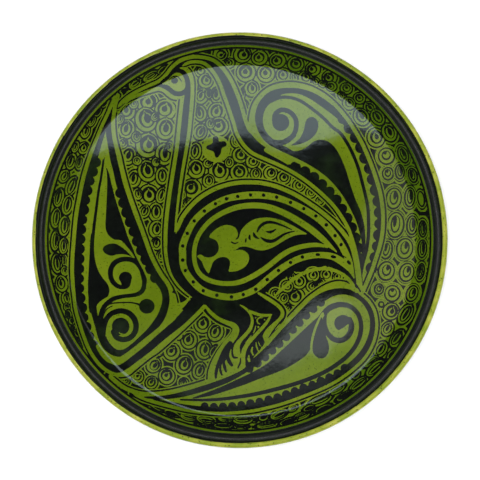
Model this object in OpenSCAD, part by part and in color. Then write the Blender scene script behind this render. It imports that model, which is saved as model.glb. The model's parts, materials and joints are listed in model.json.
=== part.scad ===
// A hand-painted glazed dish, 300 mm across: a thrown clay body on a turned foot ring,
// a glaze skin inside, outside and over the lip, and black slip painting on the inside.
// The origin is the middle of the resting plane, and +Z is up, towards the painted face.
// The painting is laid out in millimetres on the plan of a 300 mm dish.

/* [Dish] */
// Diameter across the lip
plate_d = 300; // [240:5:360]
// Thickness of the clay floor at its middle
floor_t = 5; // [4.5:0.25:6]
// Rise of the well from its middle to its edge
well_rise = 2; // [1:0.25:4]
// Radius of the round lip
lip_r = 2.1; // [1.6:0.1:2.2]

/* [Foot] */
// Outside diameter of the foot ring, where it stands
foot_d = 160; // [140:2:164]
// Width of the foot ring, where it stands
foot_w = 8; // [6:0.5:10]
// Height of the foot ring
foot_h = 6; // [5:0.5:8]

/* [Glaze and paint] */
// Thickness of the glaze
glaze_t = 0.5; // [0.4:0.1:0.8]
// Height of the painted slip over the glaze
slip_t = 0.3; // [0.2:0.05:0.4]
// Radius that rounds the end of each brush stroke
brush_r = 0.3; // [0.1:0.05:0.4]
// Inner radius of the black band at the rim
band_r = 139.8; // [139.5:0.1:141]
// Radius of the middle of the fine ring inside the band
ring_r = 137.3; // [137:0.1:137.6]
// Width of the fine ring
ring_w = 1; // [0.6:0.1:1.2]

/* [Painting] */
// Spacing of the scallops along the plumes
scallop_pitch = 6.8; // [6:0.2:9]
// Radius of one scallop
scallop_r = 3; // [2.4:0.1:3.4]
// Radius of the dots round the bird's body
dot_r = 1.3; // [1:0.1:1.6]
// Width of the lines that close off the scale filling
edge_w = 1; // [0.6:0.1:1.2]
// Radius of one scale, as a share of the spacing of its row
scale_share = 0.44; // [0.35:0.01:0.46]

/* [Hidden] */
design_d = 300;                          // the diameter that the profile and the painting are drawn at
size = plate_d / design_d;
well_r = 127;
floor_z = foot_h + floor_t + glaze_t;
well_tilt = 12;                          // slope of the wall where it leaves the well
wall_tilt = 45;                          // slope where the wall turns up into the lip
wall_r = 34;
upper_wall_r = 6;
wall_c = [well_r - wall_r * sin(well_tilt), floor_z + well_rise + wall_r * cos(well_tilt)];
upper_c = wall_c + (wall_r - upper_wall_r) * [sin(wall_tilt), -cos(wall_tilt)];
lip_c = upper_c + [upper_wall_r + lip_r, 0];
paint_edge = 115;                        // where the black band ends on the round lip
glaze_edge = -30;                        // where the lip turns into the outside wall
back_tilt = 5;                           // slope of the outside wall above the foot
back_r = (lip_c.y + lip_r * sin(glaze_edge) - foot_h - 1) / (cos(back_tilt) - cos(90 + glaze_edge));
back_c = lip_c + (lip_r - back_r) * [cos(glaze_edge), sin(glaze_edge)];
back_foot_r = foot_d / 2 + 2;            // where the outside glaze stops above the foot
draw_h = 60;                             // taller than the dish, for cutting the painting out

// ---- the profile, as points [radius, height] moved out from the surface by a distance ----

function turned(c, r, a) = c + r * [cos(a), sin(a)];
function well_line(lift) = [for (r = [0, 30, 60, 90, 110, well_r - 1])
    let (slope = atan(2 * well_rise * r / pow(well_r, 2)))
    [r - lift * sin(slope), floor_z + well_rise * pow(r / well_r, 2) + lift * cos(slope)]];
function wall_line(lift) = [for (a = [well_tilt : 5.5 : wall_tilt]) turned(wall_c, wall_r - lift, a - 90)];
function upper_line(lift) = [for (a = [wall_tilt + 9 : 9 : 90]) turned(upper_c, upper_wall_r - lift, a - 90)];
function lip_line(from, to, lift) = [for (k = [0 : 6]) turned(lip_c, lip_r + lift, from + (to - from) * k / 6)];
function back_line(lift) = concat(
    [for (a = [90 + glaze_edge : -5 : back_tilt]) turned(back_c, back_r + lift, a - 90)],
    [[back_foot_r, foot_h - lift]]);
function inside_line(lift, to) = concat(well_line(lift), wall_line(lift), upper_line(lift),
    lip_line(168, to, lift));
function backwards(p) = [for (i = [len(p) - 1 : -1 : 0]) p[i]];
function within(p, r1, r2) = [for (q = p) if (q.x > r1 && q.x < r2) q];
function height_at(r) = r < well_r ? floor_z + well_rise * pow(r / well_r, 2)
    : wall_c.y - sqrt(pow(wall_r, 2) - pow(r - wall_c.x, 2));

// ---- brushwork, drawn flat ----

function bend(a, b, c, d, t) = 0.5 * (2 * b + (c - a) * t + (2 * a - 5 * b + 4 * c - d) * t * t
    + (3 * b - a - 3 * c + d) * t * t * t);
function smooth_line(p, n = 4) = let (last = len(p) - 1) concat(
    [for (i = [0 : last - 1], k = [0 : n - 1])
        bend(p[max(i - 1, 0)], p[i], p[i + 1], p[min(i + 2, last)], k / n)],
    [p[last]]);
function smooth_loop(p, n = 4) = let (m = len(p))
    [for (i = [0 : m - 1], k = [0 : n - 1]) bend(p[(i + m - 1) % m], p[i], p[(i + 1) % m], p[(i + 2) % m], k / n)];
function side_at(p, i) = let (a = p[max(i - 1, 0)], b = p[min(i + 1, len(p) - 1)], d = [b.x - a.x, b.y - a.y])
    [-d.y, d.x] / norm(d);
function flat(q) = [q.x, q.y];
function run(p, i) = i == 0 ? 0 : run(p, i - 1) + norm(flat(p[i]) - flat(p[i - 1]));
function point_at(p, s, i = 1) = let (step = norm(flat(p[i]) - flat(p[i - 1])))
    (s <= step || i == len(p) - 1) ? concat(flat(p[i - 1]) + (flat(p[i]) - flat(p[i - 1])) * s / step, [i])
    : point_at(p, s - step, i + 1);

// A brush stroke through points [x, y, width]
module brush(p) {
    line = smooth_line(p);
    last = len(line) - 1;
    polygon(concat(
        [for (i = [0 : last]) flat(line[i]) + side_at(line, i) * line[i].z / 2],
        [for (i = [last : -1 : 0]) flat(line[i]) - side_at(line, i) * line[i].z / 2]));
}

// A filled shape with a round outline
module blot(p) polygon(smooth_loop(p));

module spot(x, y, r) translate([x, y]) circle(r, $fn = 32);

// Scallops along one side of a stroke through points [x, y]; side is 1 for left and -1 for right
module scallops(p, side) {
    line = smooth_line(p);
    count = floor(run(line, len(line) - 1) / scallop_pitch);
    for (k = [0 : count - 1]) {
        at = point_at(line, (k + 0.5) * scallop_pitch);
        across = side_at(line, at.z) * side;
        translate(flat(at) - across * scallop_r / 3) circle(scallop_r, $fn = 24);
    }
}

// The painted skin that follows the inside of the dish, cut to a flat drawing
module painted() {
    painted_exactly() offset(r = brush_r) offset(delta = -brush_r) children();
}

module painted_exactly() {
    lower = concat(well_line(0), [for (q = wall_line(0)) if (q.x < band_r) q]);
    render(convexity = 20) intersection() {
        rotate_extrude($fn = 180) polygon(concat(lower, [for (q = backwards(lower)) q + [0, slip_t]]));
        linear_extrude(draw_h, convexity = 20) children();
    }
}

module painted_ring(r1, r2) {
    lower = concat([[r1, height_at(r1)]], within(wall_line(0), r1, r2), [[r2, height_at(r2)]]);
    rotate_extrude($fn = 180) polygon(concat(lower, [for (q = backwards(lower)) q + [0, slip_t]]));
}

// A field of scale filling: a line round the field, and a ring for each scale along its rows,
// which are curves through points [x, y, spacing of the scales]
module scale_field(outline, rows) {
    color("darkolivegreen") painted_exactly() offset(delta = -brush_r) offset(delta = brush_r)
        difference() {
            polygon(outline);
            difference() {
                offset(delta = -edge_w) polygon(outline);
                for (row = rows)
                    scale_row(smooth_line(row));
            }
        }
}

function scale_places(line, s, total) = s > total ? []
    : let (at = point_at(line, s), w = line[at.z].z) concat([[at.x, at.y, w]], scale_places(line, s + w, total));

module scale_row(line) {
    for (q = scale_places(line, 0, run(line, len(line) - 1)))
        translate(flat(q)) difference() {
            circle(q.z * scale_share, $fn = 16);
            circle(q.z * scale_share - edge_w, $fn = 16);
        }
}

// ---- the strokes of each motif, in millimetres on the plan ----

plume_left_band = [[-94.5, 91, 4], [-97.5, 82, 6], [-101, 70, 4.6], [-103.5, 60, 4], [-106.4, 50, 4.8],
    [-111, 30, 4.5], [-114.2, 10, 4.8], [-115.8, -10, 4.8], [-115.9, -30, 5], [-113.9, -50, 4.8],
    [-109.2, -70, 5], [-104, -81, 6], [-98, -88.5, 6], [-90, -92.4, 5.6]];
slanting_band = [[-90, -92.4, 5.6], [-82, -89.8, 5.4], [-72, -83, 5.4], [-58, -71, 6], [-46, -60, 6.6],
    [-36, -50, 7.6], [-29, -43, 9]];
plume_right_band = [[-92.4, 84, 2.4], [-93.2, 70, 4], [-90.8, 60, 4.4], [-86.1, 42, 4.6], [-81.9, 30, 4.6],
    [-75.5, 10, 5], [-68.2, -10, 5.8], [-61.5, -22, 5.6], [-55.4, -33, 5.2], [-52.8, -43, 5], [-55, -55, 5.4],
    [-64, -65.4, 5.4], [-75, -76, 5], [-85, -81.4, 4.6], [-93, -79, 5.4], [-99, -71, 6.2], [-102.4, -61, 5.4],
    [-105.5, -48, 5], [-106.5, -30, 4.4], [-105.9, -10, 2.8], [-104.6, 8, 2.2], [-102.6, 24, 2],
    [-99.6, 43, 1.8], [-97.4, 60, 1.2]];
plume_belly = [[-108.6, -22], [-103, -20], [-100, -25], [-95.6, -30], [-93.4, -36], [-95, -41], [-99.6, -44],
    [-102.8, -49], [-107.6, -52], [-108.8, -38]];
plume_spear = [[-95, 58], [-95, 42], [-95.6, 24], [-96.2, 10], [-93.4, 3], [-89.6, 0.4], [-84.4, -0.6],
    [-78, -8], [-72.4, -19], [-70.4, -23], [-76.4, -6], [-82, 10], [-88.6, 29], [-93, 46]];
plume_drop = [[-98.2, -7], [-95.6, -3.6], [-90.6, -2.5], [-85.4, -4.4], [-80.4, -8.4], [-77, -12.4],
    [-83, -10.4], [-89, -10.6], [-93, -11.3], [-97, -9.6]];
upper_spiral = [[-84, -29, 9], [-84.6, -34.2, 3], [-90.6, -31, 4], [-92.6, -24, 3.6], [-90, -17.6, 3.6],
    [-84, -14.2, 3.6], [-77, -15.4, 4], [-71, -21, 3.8], [-68.4, -29, 3.8], [-70.4, -36.6, 3.6],
    [-77, -39.8, 3], [-86, -41.2, 2.8], [-94.4, -45.6, 3], [-99, -53, 2.8], [-99.4, -62, 2.6]];
lower_spiral = [[-98, -64, 3.4], [-95.6, -57, 4], [-90.6, -52.6, 4], [-84, -51, 4], [-78, -53.4, 4],
    [-74.6, -58.6, 4], [-74.6, -64.6, 4], [-78.4, -69.8, 4], [-84.4, -71.6, 4], [-89.4, -68.4, 4]];
dot_stem = [[-97.6, -60, 0.8], [-96.4, -53, 1], [-91.6, -47.4, 1.1], [-84, -45.2, 1.2], [-76, -45.4, 1.2],
    [-71, -46.6, 1.2]];

neck_stroke = [[-48, -38, 3], [-47, -22, 5.2], [-48.3, -6, 5.6], [-48.6, 8, 5.2], [-46.9, 30, 4.4],
    [-44, 50, 4.3], [-41.7, 66, 4.3], [-39.6, 80, 4.6], [-38, 92, 4.8], [-37.2, 104, 4.4],
    [-37.2, 112, 4.2], [-39.4, 119, 4.4], [-43.6, 122.6, 4], [-49, 120.6, 5], [-54, 115, 4],
    [-60, 110.8, 2.6], [-70, 107.2, 1.4], [-80, 103, 0.8]];
chin_stroke = [[-58, 111.2, 2.6], [-53, 109.8, 3.2], [-49, 105.8, 3.6], [-44.6, 104.8, 3.4], [-39.6, 105.6, 3]];
arch_stroke = [[-56, 113.5, 2.6], [-50.5, 122, 4.2], [-45, 127, 4], [-38, 130.3, 3], [-30, 130.8, 2.6],
    [-22, 128.9, 3], [-15, 123.8, 3.4], [-9.6, 115, 3.8], [-5.6, 105, 4], [-1.6, 93, 4.2], [1, 84, 3.8],
    [5, 75, 3.8], [11, 68, 4.2], [20, 61.2, 4.6], [30, 57, 3.4], [40, 52, 4], [50, 47, 4.8], [60, 39.5, 5],
    [68, 30, 5], [74.6, 20, 4.6], [79.6, 10, 4.4], [83.4, 0, 4], [85.6, -10, 3], [87, -20, 1.4]];
head_eye = [[-50, 116.6, 0.7], [-47.4, 118, 0.9], [-44.4, 117, 0.9], [-41.6, 114, 0.6]];

body_outer = [[-45.6, 4, 4.4], [-42.4, 13, 4.2], [-36.2, 21.4, 4.8], [-28, 28.4, 5], [-18, 33.4, 4.8],
    [-8, 36, 4.6], [4, 37, 4.6], [16, 36.6, 4], [28, 33.8, 3.2], [40, 29.4, 3.2], [52, 22.8, 3.6],
    [62, 15, 4], [70, 7, 4.4], [76, -1.4, 4.2], [80.6, -11, 3.6], [83.6, -22, 3], [84.4, -33, 2.4]];
body_middle = [[69, -3.6, 1.6], [64, 2.4, 3], [56, 9.4, 4], [46, 15.8, 4.6], [36, 21.4, 4.8], [24, 26.4, 4.6],
    [10, 28.6, 4.4], [-4, 27.4, 4.4], [-16, 22.4, 4.6], [-26, 13.6, 4.6], [-33, 3, 4.2], [-36.4, -8, 4],
    [-36, -18, 4], [-31.4, -27, 4.2], [-23, -32.6, 4.4], [-12, -34.8, 4.6], [0, -34, 4.6], [12, -29.4, 4.6],
    [22, -22.6, 4.4], [33, -14.6, 4.2], [44, -8.4, 3.6], [55, -6.6, 3], [64, -7.2, 2.4], [73, -11, 1.2]];
body_field = [[-30.6, -8], [-27.6, 3], [-21, 11.4], [-11, 18.6], [0, 21.8], [14, 22], [27, 19], [40, 12.4],
    [52, 5], [62, -2.6], [50, -0.8], [38, -4.6], [26, -12.4], [14, -21], [4, -26.6], [-8, -29.6],
    [-20, -27.6], [-28, -21]];
flower = [[-21, 1.6], [-17, 7.4], [-10, 10.8], [-3.6, 9], [-1, 4.6], [-2.2, 0.8], [0.6, 2.6], [2, 7],
    [8, 13], [17, 16], [28, 15], [39, 10], [48.6, 4.4], [40, 3.4], [31, -1.4], [24, -5.6], [16, -7.6],
    [6, -5.2], [-2.6, -7.4], [3, -7.4], [6.8, -12.6], [4.6, -18.6], [-1.4, -22.2], [-7, -22], [-6.6, -16],
    [-10, -12.4], [-15, -12.8], [-19, -16.8], [-21.6, -23.4], [-26.6, -18.6], [-29.4, -11.4], [-22, -12.6],
    [-15.2, -8.4], [-15.4, -2.4]];
leaf_lids = [[[13, 6.2, 0.8], [15.6, 10.2, 1.8], [20, 12.4, 2], [26, 12, 1.6], [32, 10, 1.2], [37, 7.8, 0.6]],
    [[16, 1.6, 1], [20, -0.6, 2.2], [25, -0.6, 2.2], [30, 2.4, 2], [35, 5, 1.4], [39, 6.4, 0.8]],
    [[20, 6.2, 1.2], [23, 6.2, 1.8], [25.8, 7.4, 0.8]], [[10.6, 5.2, 1], [11.4, 2.6, 2.2], [14, 1.2, 0.8]],
    [[7.5, 3.2, 1], [7.6, 1.8, 1.7], [7.8, 0, 1]], [[4.9, 0.8, 0.8], [4.8, -0.6, 1.3], [4.8, -1.6, 0.8]]];
body_lower_edge = [[-41.6, -25, 3.4], [-37.4, -33, 3.6], [-30, -39.4, 4.4], [-20, -44.6, 4.6], [-8, -46.4, 5],
    [4, -45.4, 5], [14, -40.8, 4.6], [23, -33.6, 4.4], [33, -25.6, 4.2], [44, -18.4, 4], [56, -15, 4],
    [66, -16, 4], [75, -20, 4], [81, -28, 3.6], [83, -36, 2.4]];
upper_dots = [[-40.7, -14.4], [-40.6, -4.3], [-37.4, 4.8], [-32.4, 13.7], [-25, 20.8], [-17, 26], [-9, 29.6],
    [-0.8, 31.4], [8.3, 32.3], [17.6, 32.2], [27, 30.7], [37, 27], [46.4, 22.4], [55.2, 17.2], [62.6, 10.8],
    [69, 3], [73.3, -3.4], [78.8, -16.2]];
lower_dots = [[-38.8, -22], [-33, -30.2], [-25.8, -36.5], [-16, -39.8], [-5.5, -41], [3, -39.2], [12, -35.5],
    [20.3, -28.6], [28.4, -22], [37, -16.2], [45.5, -12.3], [56.6, -10.4], [67.6, -12.2]];

upper_ring = [[29, 69.6, 3], [24, 71, 4.4], [17.4, 78, 4.6], [13.8, 86, 5], [14.8, 95, 5], [20, 101.4, 5.4],
    [27, 106, 4.4], [36, 107.4, 3.6], [45, 106, 4], [54, 101.4, 4.6], [62, 95.4, 5], [70, 87.6, 5.6],
    [78, 77.4, 5], [84.6, 66, 4.6], [90, 54, 4.6], [94.4, 41, 4.8], [97.8, 28, 4.6], [99.4, 14, 4.6],
    [98.8, 1, 4.4], [96.6, -10, 4], [93.4, -20, 3.2], [89.6, -31, 1.6]];
upper_line_stroke = [[21, 98.6, 2.4], [28, 101.4, 2.4], [37, 101.6, 2.4], [46, 98.4, 2.4], [56, 91.6, 2.4],
    [66, 82.4, 2.4], [74, 73.4, 2.4], [81, 62.4, 2.4], [86.4, 49, 2.6], [90, 35, 2.6], [92.4, 20, 2.8],
    [93, 6, 2.4], [92, -6, 1.8]];
upper_disc = [[31, 84.6, 11], [25.4, 88.4, 4], [28.6, 92.6, 3], [34.6, 93.2, 3], [39.6, 90, 3.2],
    [41.4, 84, 3.4], [40, 78, 3.6], [36, 73.4, 3.4], [30, 70.6, 3]];
upper_comma = [[48, 84], [50, 87.4], [53.4, 88.2], [56.4, 85.6], [56.8, 81], [54, 75], [48.6, 70.8],
    [43, 68.4], [37.6, 67.8], [42, 71.4], [45.8, 77.4]];
upper_field = [[20, 74], [26, 69.2], [33, 65], [40, 63.8], [47, 66], [54, 70.6], [60, 71.6], [67, 67.6],
    [73, 58.4], [78, 46], [81.6, 34.4], [86.6, 22], [89.8, 10], [90.4, -4], [90, -13], [88, -3], [84, 13],
    [75, 30.6], [64, 44], [50, 54], [36, 60.6], [25, 66.8]];

lower_tail = [[-62, -113.6, 2], [-50, -112.8, 3.6], [-38, -110.8, 4], [-24, -107, 4.2], [-10, -101.6, 4.2],
    [2, -95, 4.8], [14, -86, 5.6], [25, -75, 6], [36, -63, 6], [46, -52.4, 6], [56, -43.4, 5.4],
    [66, -38.2, 4.4], [76, -37.2, 4.2], [85, -40, 4.2], [92, -46, 4], [95.6, -55, 4], [96, -65, 4],
    [92.8, -75, 4.4], [86, -85, 4.6], [76, -94, 4.8], [64, -101.4, 4.8], [50, -107.8, 4.6], [34, -113.4, 4.4],
    [18, -117.6, 4], [0, -120.4, 3.6], [-18, -121, 3.4], [-34, -119.8, 3], [-48, -117, 2]];
lower_ring = [[60, -53.4, 4], [66, -48.4, 4], [73.6, -46, 4], [80.6, -48, 4], [86, -53.4, 4], [88, -61, 3.8],
    [87, -69, 3.6], [82.6, -77.6, 3.6], [74, -86, 3.4], [63, -93.4, 3.2], [50, -99.6, 3.2], [35, -104.8, 3.2],
    [18, -109.2, 3], [0, -112.8, 2.8], [-18, -114.8, 2.4], [-38, -115, 2]];
lower_spear = [[60, -53], [56.6, -59], [53.4, -66], [52.2, -74], [49.6, -80.6], [44, -86.6], [34, -92.2],
    [20, -98], [5, -104], [-12, -109.4], [-26, -113], [-12, -107], [2, -100.6], [14, -93.6], [26, -83.6],
    [38, -72.6], [49, -62.4]];
lower_drop = [[59, -57], [56, -64], [53.6, -71], [53, -78], [55.4, -83.4], [59, -85], [62.6, -83.6],
    [64.6, -78], [63.6, -71.6], [61, -65]];
lower_disc = [[73.6, -59.4, 10.4], [79.4, -57.6, 3.6], [81, -64, 3.4], [77.6, -70, 3.6], [71, -71.8, 3.4],
    [65, -68.6, 3.2], [62, -62, 2.8], [62.6, -55, 2]];

leg_strokes = [[[-23, -46, 3], [-14, -51.4, 5], [-4, -55, 6], [2.4, -61, 5.4], [0.6, -69, 4.4],
        [-6, -77.6, 4], [-11, -86, 3.4], [-15, -93, 2.6], [-17, -98.6, 1.4]],
    [[0, -50, 4], [5, -54, 5], [6.4, -61, 4.4], [2, -70, 3], [-4, -77, 3], [-7, -83, 3.2], [-6, -90.4, 2.6]],
    [[8, -48, 7], [16, -48, 8], [25, -51, 6], [26.4, -57, 4.6], [20, -65, 4.4], [14, -72, 4.4], [8, -79, 4],
        [5, -86, 3.4], [4, -91, 2.4]],
    [[12, -57, 3], [12, -63, 2.6], [8, -69, 2.4], [3.6, -75, 2.2], [1.4, -82, 2], [0, -88, 2.4]]];
toe_strokes = [[[-12.6, -91, 1], [-12.8, -94.6, 1.8], [-12.4, -97.4, 0.8]],
    [[-10.8, -88.6, 1], [-10, -92, 2], [-9.4, -95, 1]]];
rosette_cross = [[-19.2, 73], [-17, 74.4], [-14.8, 73], [-13.8, 70.4], [-10.8, 71], [-9, 69], [-10, 67],
    [-12.8, 65.6], [-13.4, 62], [-15.4, 59.8], [-17.6, 60.4], [-18.6, 63.6], [-21.6, 64.6], [-23.4, 66.4],
    [-22, 68.4], [-19.4, 69.8]];

left_rim_edge = [[-92, 100], [-104, 88], [-115, 73], [-124, 56], [-131, 37], [-135, 18], [-136.4, 0],
    [-135, -19], [-131, -38], [-124, -57], [-116, -72], [-109, -82], [-112.6, -76], [-118.4, -62],
    [-121, -48], [-122.4, -30], [-122.6, -12], [-121.6, 5], [-119, 22], [-115.4, 38], [-111, 54],
    [-106, 70], [-101, 84], [-97, 92]];
left_rim_rows = [[[-108, 78, 12], [-117, 60, 12], [-124, 42, 13], [-128.6, 24, 11], [-130, 6, 10],
    [-130, -12, 11], [-127.6, -30, 11], [-124.4, -45, 8], [-121, -56, 5], [-114, -71, 4]]];
neck_edge = [[-87, 96], [-78, 100.4], [-66, 104.6], [-57, 106.4], [-48, 101], [-42.8, 101], [-44.4, 88],
    [-46.4, 74], [-49, 57], [-51.8, 38], [-54.4, 16], [-55.4, -2], [-54, -14], [-50.4, -25], [-55, -22],
    [-62, -9], [-68.4, 8], [-75, 27], [-80.6, 44], [-85.4, 62], [-88.6, 80], [-88.8, 92]];
neck_rows = [[[-80.4, 93.4, 13], [-81, 79, 13], [-79.4, 61, 12], [-75.6, 44, 12], [-68, 22, 8]],
    [[-66.4, 98, 13], [-67.6, 84.6, 16], [-66.4, 66.4, 16], [-66, 49, 15], [-64.4, 32, 14], [-60, 20, 12],
        [-60, 8, 10], [-58.6, -2, 7]],
    [[-53, 92.6, 13], [-53, 77, 13], [-55, 60, 12], [-55.6, 45.4, 11]]];
breast_edge = [[-36, 123.4], [-30, 126], [-24, 123.6], [-18.6, 116], [-14.6, 106], [-10.6, 94], [-8, 84],
    [-4, 74], [2, 64.6], [10, 58.6], [20, 53.4], [32, 48.4], [44, 41.6], [54, 33], [46, 36], [34, 41],
    [20, 44], [4, 45], [-10, 43], [-22, 38.4], [-32, 32], [-41, 22], [-39.4, 40], [-36.6, 62], [-33.4, 84],
    [-31.8, 104], [-31.6, 116]];
breast_rows = [[[-26.6, 120, 9], [-25, 111, 9], [-26.6, 102, 10], [-27.4, 91, 10], [-28, 78, 12],
        [-32, 63, 12], [-31, 50.6, 13], [-34.4, 37, 12]],
    [[-16.2, 103.4, 11], [-16, 92, 12], [-14.6, 81, 13]],
    [[-14.8, 49, 14], [0, 49, 12], [12, 50.6, 11], [23, 47.8, 9], [32, 44.8, 9], [42.6, 39, 8]],
    [[0.6, 60.4, 12], [10, 56, 20]]];
right_rim_edge = [[-24, 134.4], [-8, 136.4], [12, 136], [30, 133], [50, 127], [70, 117], [88, 104.4],
    [104, 88.6], [117, 70], [127, 50], [133.4, 28], [136.2, 6], [135.6, -16], [131.6, -38], [124, -58],
    [113, -77], [98, -95], [80, -111], [60, -122.8], [36, -131.4], [10, -136], [-16, -135.4], [-42, -129.6],
    [-62, -121], [-44, -124.6], [-20, -127], [0, -126.8], [20, -123.6], [42, -116.8], [62, -108.6],
    [80, -98], [92, -86], [99, -74], [101.4, -62], [100, -50], [93.6, -40], [97.6, -24], [103, -8],
    [106.4, 8], [106.4, 24], [103, 42], [97, 58], [88, 76], [76, 93], [64, 106], [50, 113.6], [36, 116],
    [24, 113], [13, 105], [6.6, 94], [3, 104], [-3, 117], [-10, 127]];
right_rim_rows = [[[-13, 134, 14], [2.6, 134.4, 14], [14, 131, 14], [28.6, 129.4, 14], [41, 127.4, 14],
        [53, 123.4, 13], [65, 117.6, 13], [78, 109, 13], [90, 98, 13], [101, 86, 13], [110, 73, 13],
        [118, 60, 13], [124, 46, 12], [128.4, 30, 12], [131.6, 12, 12], [131.4, -6, 13], [129, -22, 12],
        [124.6, -38, 13], [118.4, -54, 13], [111, -70, 13], [100, -84, 13], [86, -99, 13], [70, -110, 13],
        [52, -119, 12], [34, -126, 12], [12, -130.6, 13], [-12, -131, 13], [-32, -129, 12], [-48, -126, 6]],
    [[4.6, 121, 13], [18.4, 120.8, 13], [32, 119, 11], [47, 116.6, 11], [59, 112.6, 10], [71, 106, 10],
        [80, 98.6, 10], [88.4, 88, 12], [98, 74, 12], [106, 60.6, 13], [109, 47, 13], [111, 31, 15],
        [112.6, 11, 16], [113, -7, 15], [107, -22, 15], [103, -36, 12], [106, -50, 12], [103.6, -62, 10],
        [100, -76, 10]]];
legs_edge = [[-24.6, -52], [-18.6, -58], [-10, -61.6], [-6, -65], [-10, -71.6], [-17, -81], [-22, -91],
    [-24.6, -101], [-40, -105.4], [-56, -108.4], [-70, -108.4], [-80, -104.6], [-88, -99], [-80, -97],
    [-70, -91.6], [-58, -82.4], [-46, -72], [-34, -61.4]];
legs_rows = [[[-25.6, -60, 13], [-35, -72.4, 15], [-48, -80.6, 14], [-61, -90, 14], [-73, -98, 10]],
    [[-17, -67.6, 13], [-25.6, -80, 15], [-39.6, -90, 15], [-52.6, -99.6, 14], [-62, -104, 10]],
    [[-28.8, -94, 13], [-39, -101, 11]]];
tail_edge = [[20, -38], [28, -31.4], [38, -24.6], [48, -20.2], [58, -18.8], [68, -20.6], [75, -25],
    [79, -33], [72, -30.4], [62, -31.4], [52, -37.6], [42, -46.4], [36, -51.4], [32, -46], [26, -41.4]];
tail_rows = [[[32, -43, 9], [38.6, -34, 11], [47.4, -29, 10], [56, -27, 12], [66, -26, 9], [72, -27.4, 8]]];

// ---- the layers of the dish ----

module clay_body() color("peru") scale(size) rotate_extrude($fn = 180) polygon(concat(
    [[0, foot_h]],
    [[back_foot_r, foot_h]],
    within(backwards(back_line(-glaze_t)), back_foot_r, design_d),
    lip_line(glaze_edge, 168, -glaze_t),
    backwards(concat(well_line(-glaze_t), wall_line(-glaze_t), upper_line(-glaze_t)))));

module foot_ring() color("sandybrown") scale(size) rotate_extrude($fn = 180) polygon([
    [foot_d / 2 - foot_w, 1], [foot_d / 2 - foot_w + 1, 0], [foot_d / 2 - 1, 0], [foot_d / 2, 1],
    [back_foot_r, foot_h], [foot_d / 2 - foot_w - 1.5, foot_h]]);

// The green ground on the inside of the dish
module inside_glaze() color("yellowgreen") scale(size) rotate_extrude($fn = 180) polygon(concat(
    inside_line(0, paint_edge), backwards(inside_line(-glaze_t, paint_edge))));

module outside_glaze() color("olivedrab") scale(size) rotate_extrude($fn = 180) polygon(concat(
    back_line(0), backwards(within(back_line(-glaze_t), back_foot_r + 0.5, design_d))));

// The yellow-green lip, which turns from the black band over to the outside wall
module lip_glaze() color("olive") scale(size) rotate_extrude($fn = 180) polygon(concat(
    lip_line(glaze_edge, paint_edge, 0), backwards(lip_line(glaze_edge, paint_edge, -glaze_t))));

module rim_band() color("black") scale(size) {
    inner = concat([[band_r, height_at(band_r)]], within(wall_line(0), band_r, design_d), upper_line(0),
        lip_line(168, paint_edge, 0));
    outer = concat([[band_r, height_at(band_r) + slip_t]], within(wall_line(slip_t), band_r, design_d),
        upper_line(slip_t), lip_line(168, paint_edge, slip_t));
    rotate_extrude($fn = 180) polygon(concat(inner, backwards(outer)));
}

module ring_line() color("black") scale(size) painted_ring(ring_r - ring_w / 2, ring_r + ring_w / 2);

// ---- the painting ----

// The bands of the left plume, with the slanting band that runs on to the bird
module plume_bands() {
    brush(plume_left_band);
    brush(slanting_band);
    brush(plume_right_band);
    scallops([for (q = plume_left_band) if (q.y < 66 && q.y > -78) q + [q.z / 2, 0, 0]], 1);
    scallops([for (k = [3 : 7]) plume_right_band[k] - [plume_right_band[k].z / 2, 0, 0]], -1);
}

module left_plume() color("black") scale(size) painted() {
    plume_bands();
    blot(plume_belly);
    blot(plume_spear);
}

module plume_spirals_flat() {
    brush(upper_spiral);
    brush(lower_spiral);
    spot(-85.4, -62, 6);
    brush(dot_stem);
    spot(-66.6, -47.6, 5.4);
    blot(plume_drop);
}

module left_plume_spirals() color("black") scale(size) painted() difference() {
    plume_spirals_flat();
    plume_bands();
    blot(plume_belly);
    blot(plume_spear);
}

module neck_flat() {
    brush(neck_stroke);
    brush(chin_stroke);
    brush(arch_stroke);
}

module bird_neck() color("black") scale(size) painted() difference() {
    neck_flat();
    body_flat();
    plume_bands();
}

module bird_head() color("black") scale(size) painted() {
    spot(-46.3, 114.8, 2.3);
    brush(head_eye);
}

module body_flat() {
    brush(body_outer);
    brush(body_middle);
    brush(body_lower_edge);
}

module bird_body() color("black") scale(size) painted() difference() {
    body_flat();
    plume_bands();
    upper_plume_flat();
    lower_plume_flat();
}

module bird_flower() color("black") scale(size) painted() {
    difference() {
        blot(body_field);
        blot(flower);
    }
    for (lid = leaf_lids)
        brush(lid);
}

module bird_legs() color("black") scale(size) painted() difference() {
    union() {
        for (leg = leg_strokes)
            brush(leg);
        for (toe = toe_strokes)
            brush(toe);
    }
    body_flat();
    plume_bands();
    lower_plume_flat();
}

module body_dots() color("black") scale(size) painted_exactly() {
    for (q = upper_dots)
        spot(q.x, q.y, dot_r);
    for (q = lower_dots)
        spot(q.x, q.y, dot_r);
}

module upper_plume_flat() {
    brush(upper_ring);
    brush(upper_line_stroke);
    blot(upper_field);
    scallops([for (k = [11 : 20]) upper_ring[k] - [upper_ring[k].z / 2, 0, 0]], -1);
    scallops([for (k = [15 : 22]) arch_stroke[k] + [1, 1, 0] * arch_stroke[k].z / 3], 1);
}

module upper_plume() color("black") scale(size) painted() difference() {
    upper_plume_flat();
    neck_flat();
    plume_bands();
}

module upper_plume_spiral() color("black") scale(size) painted() difference() {
    union() {
        brush(upper_disc);
        blot(upper_comma);
    }
    upper_plume_flat();
    neck_flat();
}

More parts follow.
